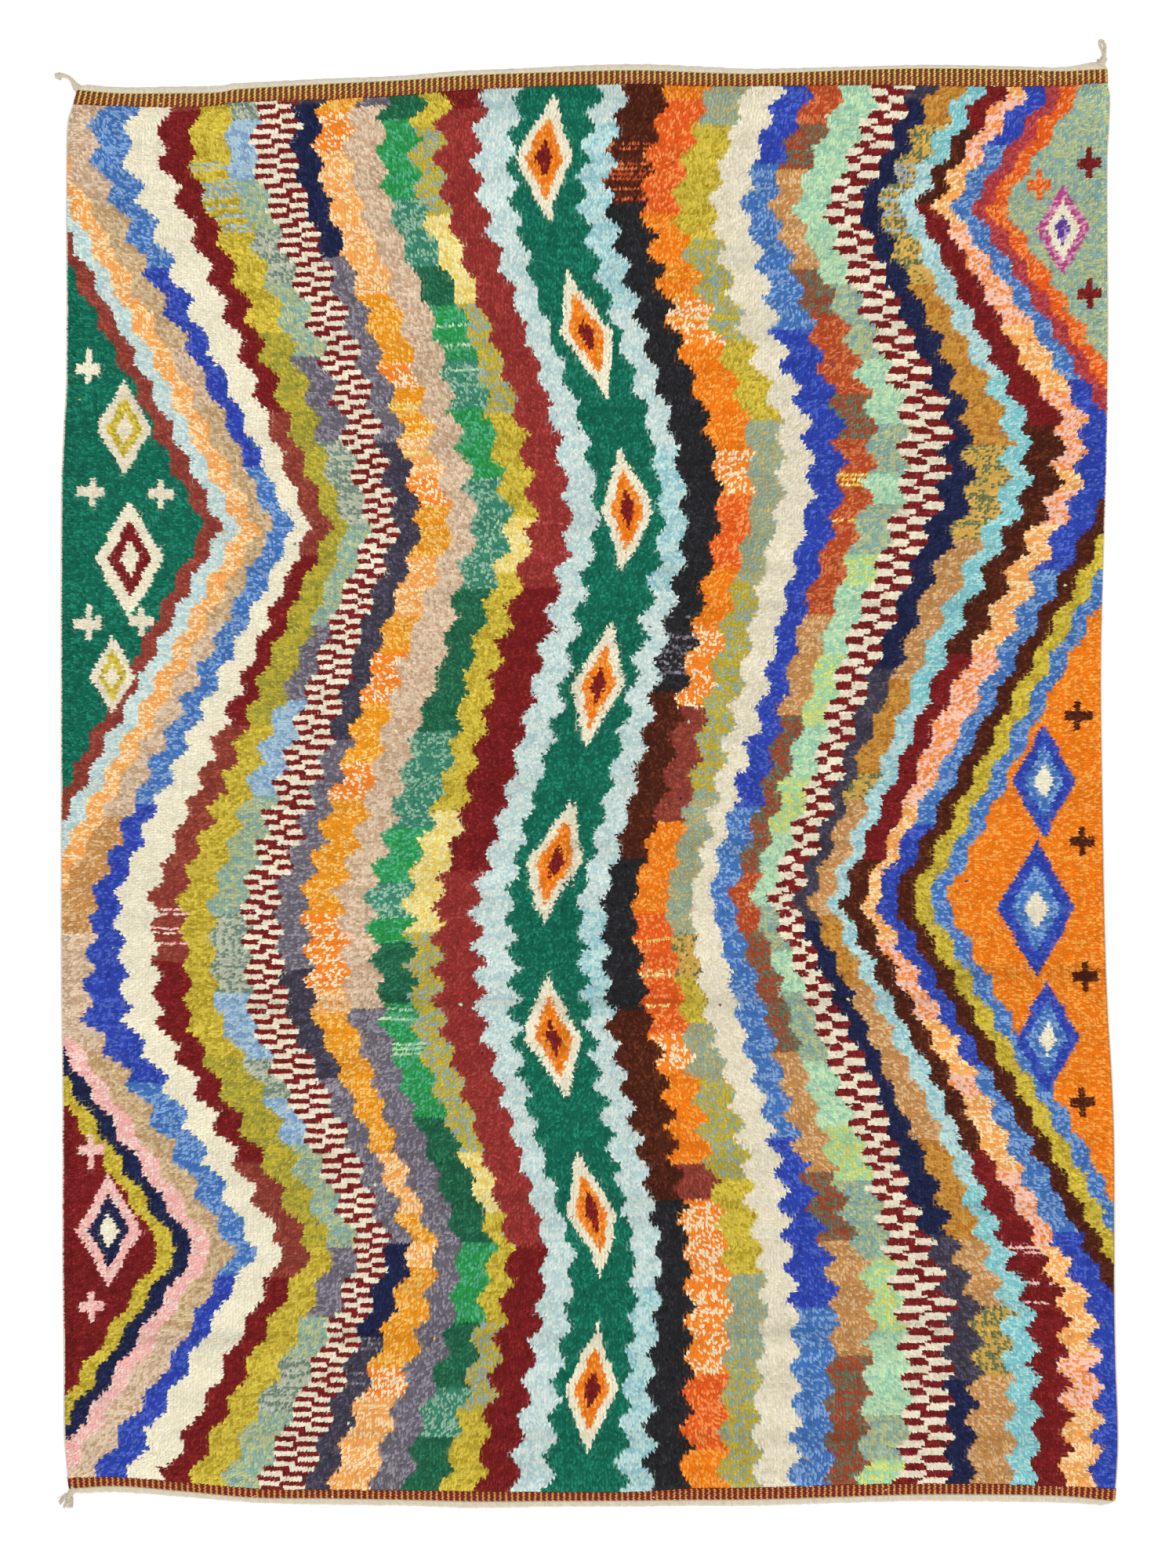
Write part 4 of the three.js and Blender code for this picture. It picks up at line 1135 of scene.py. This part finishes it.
for heading in HEADINGS:
    u = rim_stations(**HEADING_STATIONS)
    band_x, band_y = end_line(heading["end"], "band", u)
    edge_x, edge_y = end_line(heading["end"], "heading", u)
    out = heading["end"]["outward"]
    scallops = clumps(edge_x, 0.0 * edge_x, SCALLOP["length"]).clip(-1.0, 1.0)
    edge_y = edge_y - out * SCALLOP["depth"] * (0.5 + 0.5 * scallops)
    puffs = clumps(edge_x, 0.0 * edge_x, PUFF["length"]).clip(-1.0, 1.0)
    thickness = HEADING_THICKNESS * (1.0 - PUFF["share"] + PUFF["share"] * puffs)
    inner_line = (band_x, band_y + out * SEAM_GAP)
    rings = strip_rings(inner_line, (edge_x, edge_y), thickness[:, None], HEADING_SECTION)
    points, groups, maps = tube(rings, (0.0, 0.0, 1.0, 1.0))
    threads = SEAM_SHADE * (1.0 + weaver.normal(0.0, THREAD_SHADE, rings.shape[:2]))
    # the middle points of the two fans come last and are plain
    threads = np.append(threads.ravel(), [1.0, 1.0])
    dyes = threads[:, None] * linear(HEADING_COLOUR)
    piece = new_piece(heading["name"], points, groups, maps, heading_wool, dyes)
    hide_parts(heading["node"])


# Selvedges
# The outermost warps on each long side are overcast with undyed wool, one slanting wrap to each row of
# knots, into a firm round cord beside the pile.
WRAP_STATIONS = 4
SELVEDGE_SIDES = 6
SELVEDGE_HALF_WIDTH = SELVEDGE_WIDTH / 2.0
SELVEDGE_HALF_HEIGHT = 3.3
# how deep the grooves between the wraps are, and how far a wrap slants, as a share of its pitch
WRAP_DEPTH = 0.16
WRAP_SLANT = 0.35
SELVEDGES = [
    {"name": "selvedge_cord_left", "node": "selvedge_left", "edge": LEFT_EDGE, "inward": 1, "u": 0.0},
    {"name": "selvedge_cord_right", "node": "selvedge_right", "edge": RIGHT_EDGE, "inward": -1, "u": 1.0},
]
selvedge_wool = wool_material("selvedge wool", "#D3C5B2", fibre_mm=1.4, bump_mm=0.5, sheen=0.05, tint=0.12)

for cord in SELVEDGES:
    share = np.linspace(0.0, 1.0, WRAP_STATIONS * KNOT_ROWS + 1)
    y = pile_place(np.full(len(share), cord["u"]), share)[1]
    middle = line_through(cord["edge"], "y", "x", y) + cord["inward"] * SELVEDGE_HALF_WIDTH
    turn = 2.0 * math.pi * np.arange(SELVEDGE_SIDES) / SELVEDGE_SIDES
    wrap = share[:, None] * KNOT_ROWS + WRAP_SLANT * np.cos(turn)
    swell = 1.0 - WRAP_DEPTH * np.abs(np.cos(math.pi * wrap))
    x = middle[:, None] + SELVEDGE_HALF_WIDTH * swell * np.cos(turn)
    z = SELVEDGE_HALF_HEIGHT * (1.0 + swell * np.sin(turn))
    rings = np.stack([x, np.broadcast_to(y[:, None], x.shape), z], -1)
    points, groups, maps = tube(rings, (0.0, 0.0, 1.0, 1.0))
    piece = new_piece(cord["name"], points, groups, maps, selvedge_wool)
    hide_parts(cord["node"])


# Corner tails
# At three corners the ends of the outermost wool warps are gathered and twisted into a short tail: one
# ends in a knob, one is turned back into a small loop, and one is bound off as a frayed tassel.
LOOP = {
    "strands": 2, "lay": 18.0,
    "x": [1354, 1355.6, 1354.6, 1350.4, 1345, 1341, 1342.4, 1347.4, 1352],
    "y": [1880, 1893, 1904, 1913.2, 1917, 1912, 1903, 1892, 1880],
    "r": [4, 4.2, 4.3, 4.2, 4.2, 4, 3.8, 3.8, 4],
}
# each tail's strands and the length of one turn of them, its middle line and its half thickness. Its
# fray leaves the line from one of its places, with so many fibres, in a fan that is given in degrees.
TAILS = [
    {
        "name": "corner_knob_tail", "node": "tail_top_left", "strands": 3, "lay": 26.0,
        "x": [-1328, -1336, -1342.5, -1351.5, -1363, -1375, -1385, -1389],
        "y": [1790, 1798, 1809, 1818.5, 1824, 1824.5, 1823.5, 1823],
        "r": [12, 9.5, 6, 4.9, 5, 6.6, 8.2, 6.8],
        "fray": {
            "from": 5, "count": 26, "length": 9.0, "width": 12.0,
            "heading": 185.0, "fan": 130.0, "bow": 6.0,
        },
        "loops": [],
    },
    {
        "name": "corner_loop_tail", "node": "tail_top_right", "strands": 3, "lay": 26.0,
        "x": [1343, 1348.5, 1352.5, 1354],
        "y": [1851, 1860, 1872, 1886],
        "r": [14, 9.2, 5.6, 4.6],
        "fray": {
            "from": 1, "count": 16, "length": 17.0, "width": 16.0,
            "heading": 100.0, "fan": 90.0, "bow": 4.0,
        },
        "loops": [LOOP],
    },
    {
        "name": "corner_tassel_tail", "node": "tail_bottom_left", "strands": 3, "lay": 22.0,
        "x": [-1338, -1346, -1352.5, -1357],
        "y": [-1868, -1877, -1887, -1894],
        "r": [13, 8.6, 7, 8],
        "fray": {
            "from": 2, "count": 54, "length": 39.0, "width": 19.0,
            "heading": -114.0, "fan": 70.0, "bow": 13.0,
        },
        "loops": [],
    },
]
# the tails lie flattened, their middle lines a little under their own half height off the floor
TAIL_FLATNESS = 0.75
TAIL_RISE = 4.2
TAIL_LIFT = 0.92
OFF_FLOOR = 0.05
# each strand's half thickness and its distance from the middle line, as shares of the tail's
STRAND_SHARE = 0.56
STRAND_OFF = 0.44
STRAND_SIDES = 6
STRAND_STEP = 1.8
# a fibre's half thickness at its root is the radius times the first share, and less towards its tip
FIBRE_RADIUS = 0.8
FIBRE_TAPER = {"root": 1.25, "less": 0.7}
FIBRE_SIDES = 4
FIBRE_STATIONS = 6
# how much shorter the fan's outermost fibres are, how unevenly fibres lie, and how fast they sink down
OUTER_SHORTER = 0.5
FIBRE_SPREAD = {"heading": 5.0, "length": (0.78, 1.0), "bow": 2.5, "height": (0.9, 5.0)}
FIBRE_SINKING = 1.5
tail_wool = wool_material("tail wool", "#CBBFA8", fibre_mm=1.2, bump_mm=0.5, sheen=0.05, tint=0.14)


def tail_line(tail):
    """The tail's middle line as a table along its own length, which is summed from place to place."""
    steps = np.hypot(np.diff(tail["x"]), np.diff(tail["y"]))
    return {**tail, "s": np.concatenate([[0.0], np.cumsum(steps)])}


def twisted_strands(tail):
    """Rings of each strand: it winds round the tail's middle line once in each lay, at a share of its
    radius."""
    line = tail_line(tail)
    length = line["s"][-1]
    s = np.linspace(0.0, length, int(length / STRAND_STEP) + 2)
    x, y, r = (line_through(line, "s", key, s) for key in "xyr")
    way = np.stack([np.gradient(x, s), np.gradient(y, s)])
    aside = np.stack([-way[1], way[0]]) / np.hypot(*way)
    rise = np.minimum(r * TAIL_FLATNESS, TAIL_RISE)
    turn = 2.0 * math.pi * np.arange(STRAND_SIDES) / STRAND_SIDES
    for k in range(tail["strands"]):
        wound = 2.0 * math.pi * (s / tail["lay"] + k / tail["strands"])
        sideways = r[:, None] * (STRAND_OFF * np.cos(wound)[:, None] + STRAND_SHARE * np.cos(turn))
        up = rise[:, None] * (STRAND_OFF * np.sin(wound)[:, None] + STRAND_SHARE * np.sin(turn))
        strand_x = x[:, None] + aside[0][:, None] * sideways
        strand_y = y[:, None] + aside[1][:, None] * sideways
        strand_z = np.maximum(rise[:, None] * TAIL_LIFT + up, OFF_FLOOR)
        yield np.stack([strand_x, strand_y, strand_z], -1)


def loose_fibres(tail):
    """Rings of the frayed ends: each runs out of the tail at its own heading, bows to its side by the
    square of the way along, and lies down."""
    fray = tail["fray"]
    root_x, root_y = tail["x"][fray["from"]], tail["y"][fray["from"]]
    across_way = math.radians(fray["heading"] + 90.0)
    turn = 2.0 * math.pi * np.arange(FIBRE_SIDES) / FIBRE_SIDES
    t = np.linspace(0.0, 1.0, FIBRE_STATIONS)
    radius = FIBRE_RADIUS * (FIBRE_TAPER["root"] - FIBRE_TAPER["less"] * t)
    sideways = radius[:, None] * np.cos(turn)
    up = radius[:, None] * np.sin(turn)
    for share in np.linspace(-0.5, 0.5, fray["count"]):
        unevenly = weaver.normal(0.0, FIBRE_SPREAD["heading"])
        heading = math.radians(fray["heading"] + share * fray["fan"] + unevenly)
        shorter = 1.0 - OUTER_SHORTER * abs(share)
        along = fray["length"] * shorter * weaver.uniform(*FIBRE_SPREAD["length"]) * t
        bow = (-fray["bow"] * share + weaver.normal(0.0, FIBRE_SPREAD["bow"])) * t * t
        off = share * fray["width"]
        x = root_x + off * math.cos(across_way) + along * math.cos(heading) - bow * math.sin(heading)
        y = root_y + off * math.sin(across_way) + along * math.sin(heading) + bow * math.cos(heading)
        height = weaver.uniform(*FIBRE_SPREAD["height"]) * (1.0 - t) ** FIBRE_SINKING + radius + OFF_FLOOR
        fibre_x = x[:, None] - math.sin(heading) * sideways
        fibre_y = y[:, None] + math.cos(heading) * sideways
        yield np.stack([fibre_x, fibre_y, height[:, None] + up], -1)


def joined(skins):
    """Several skins as one: their faces renumbered, grouped by the number of their corners."""
    points, quads, fans, quad_maps, fan_maps = [], [], [], [], []
    first = 0
    for skin_points, (skin_quads, skin_fans), (skin_quad_map, skin_fan_map) in skins:
        points.append(skin_points)
        quads.append(skin_quads + first)
        fans.append(skin_fans + first)
        quad_maps.append(skin_quad_map)
        fan_maps.append(skin_fan_map)
        first += len(skin_points)
    groups = [np.concatenate(quads), np.concatenate(fans)]
    return np.concatenate(points), groups, [np.concatenate(quad_maps), np.concatenate(fan_maps)]


for tail in TAILS:
    parts = [*twisted_strands(tail), *loose_fibres(tail)]
    for loop in tail["loops"]:
        parts += twisted_strands(loop)
    shelves = np.linspace(0.0, 1.0, len(parts) + 1)
    skins = []
    for rings, low, high in zip(parts, shelves[:-1], shelves[1:]):
        skins.append(tube(rings, (0.0, low, 1.0, high)))
    piece = new_piece(tail["name"], *joined(skins), tail_wool)
    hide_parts(tail["node"])


# Floor and light
# The rug lies on a plain white studio floor, in even light from all round with one broad soft lamp
# high at its upper left.
FLOOR_CORNERS = ((-1, -1), (1, -1), (1, 1), (-1, 1))
FLOOR_HALF = 40.0
FLOOR_DROP = 0.0005
FLOOR_WHITE = 0.97
ROUND_LIGHT = 0.83
LAMP_STRENGTH = 1.25
LAMP_SPREAD = math.radians(30.0)
LAMP_TILT = (math.radians(38.0), 0.0, math.radians(35.0))

floor_mesh = bpy.data.meshes.new("floor")
floor_points = [(a * FLOOR_HALF, b * FLOOR_HALF, -FLOOR_DROP) for a, b in FLOOR_CORNERS]
floor_mesh.from_pydata(floor_points, [], [(0, 1, 2, 3)])
floor = bpy.data.objects.new("floor", floor_mesh)
bpy.context.scene.collection.objects.link(floor)
floor_paint = bpy.data.materials.new("floor paint")
floor_paint.use_nodes = True
paint = floor_paint.node_tree.nodes["Principled BSDF"]
paint.inputs["Base Color"].default_value = (FLOOR_WHITE, FLOOR_WHITE, FLOOR_WHITE, 1.0)
paint.inputs["Roughness"].default_value = 1.0
paint.inputs["Specular IOR Level"].default_value = 0.0
floor_mesh.materials.append(floor_paint)

room = bpy.data.worlds.new("studio")
room.use_nodes = True
room.node_tree.nodes["Background"].inputs["Color"].default_value = (1.0, 1.0, 1.0, 1.0)
room.node_tree.nodes["Background"].inputs["Strength"].default_value = ROUND_LIGHT
bpy.context.scene.world = room
bpy.context.scene.view_settings.view_transform = "Standard"

lamp = bpy.data.lights.new("softbox", "SUN")
lamp.energy = LAMP_STRENGTH
lamp.angle = LAMP_SPREAD
lamp_object = bpy.data.objects.new("softbox", lamp)
lamp_object.rotation_euler = LAMP_TILT
bpy.context.scene.collection.objects.link(lamp_object)
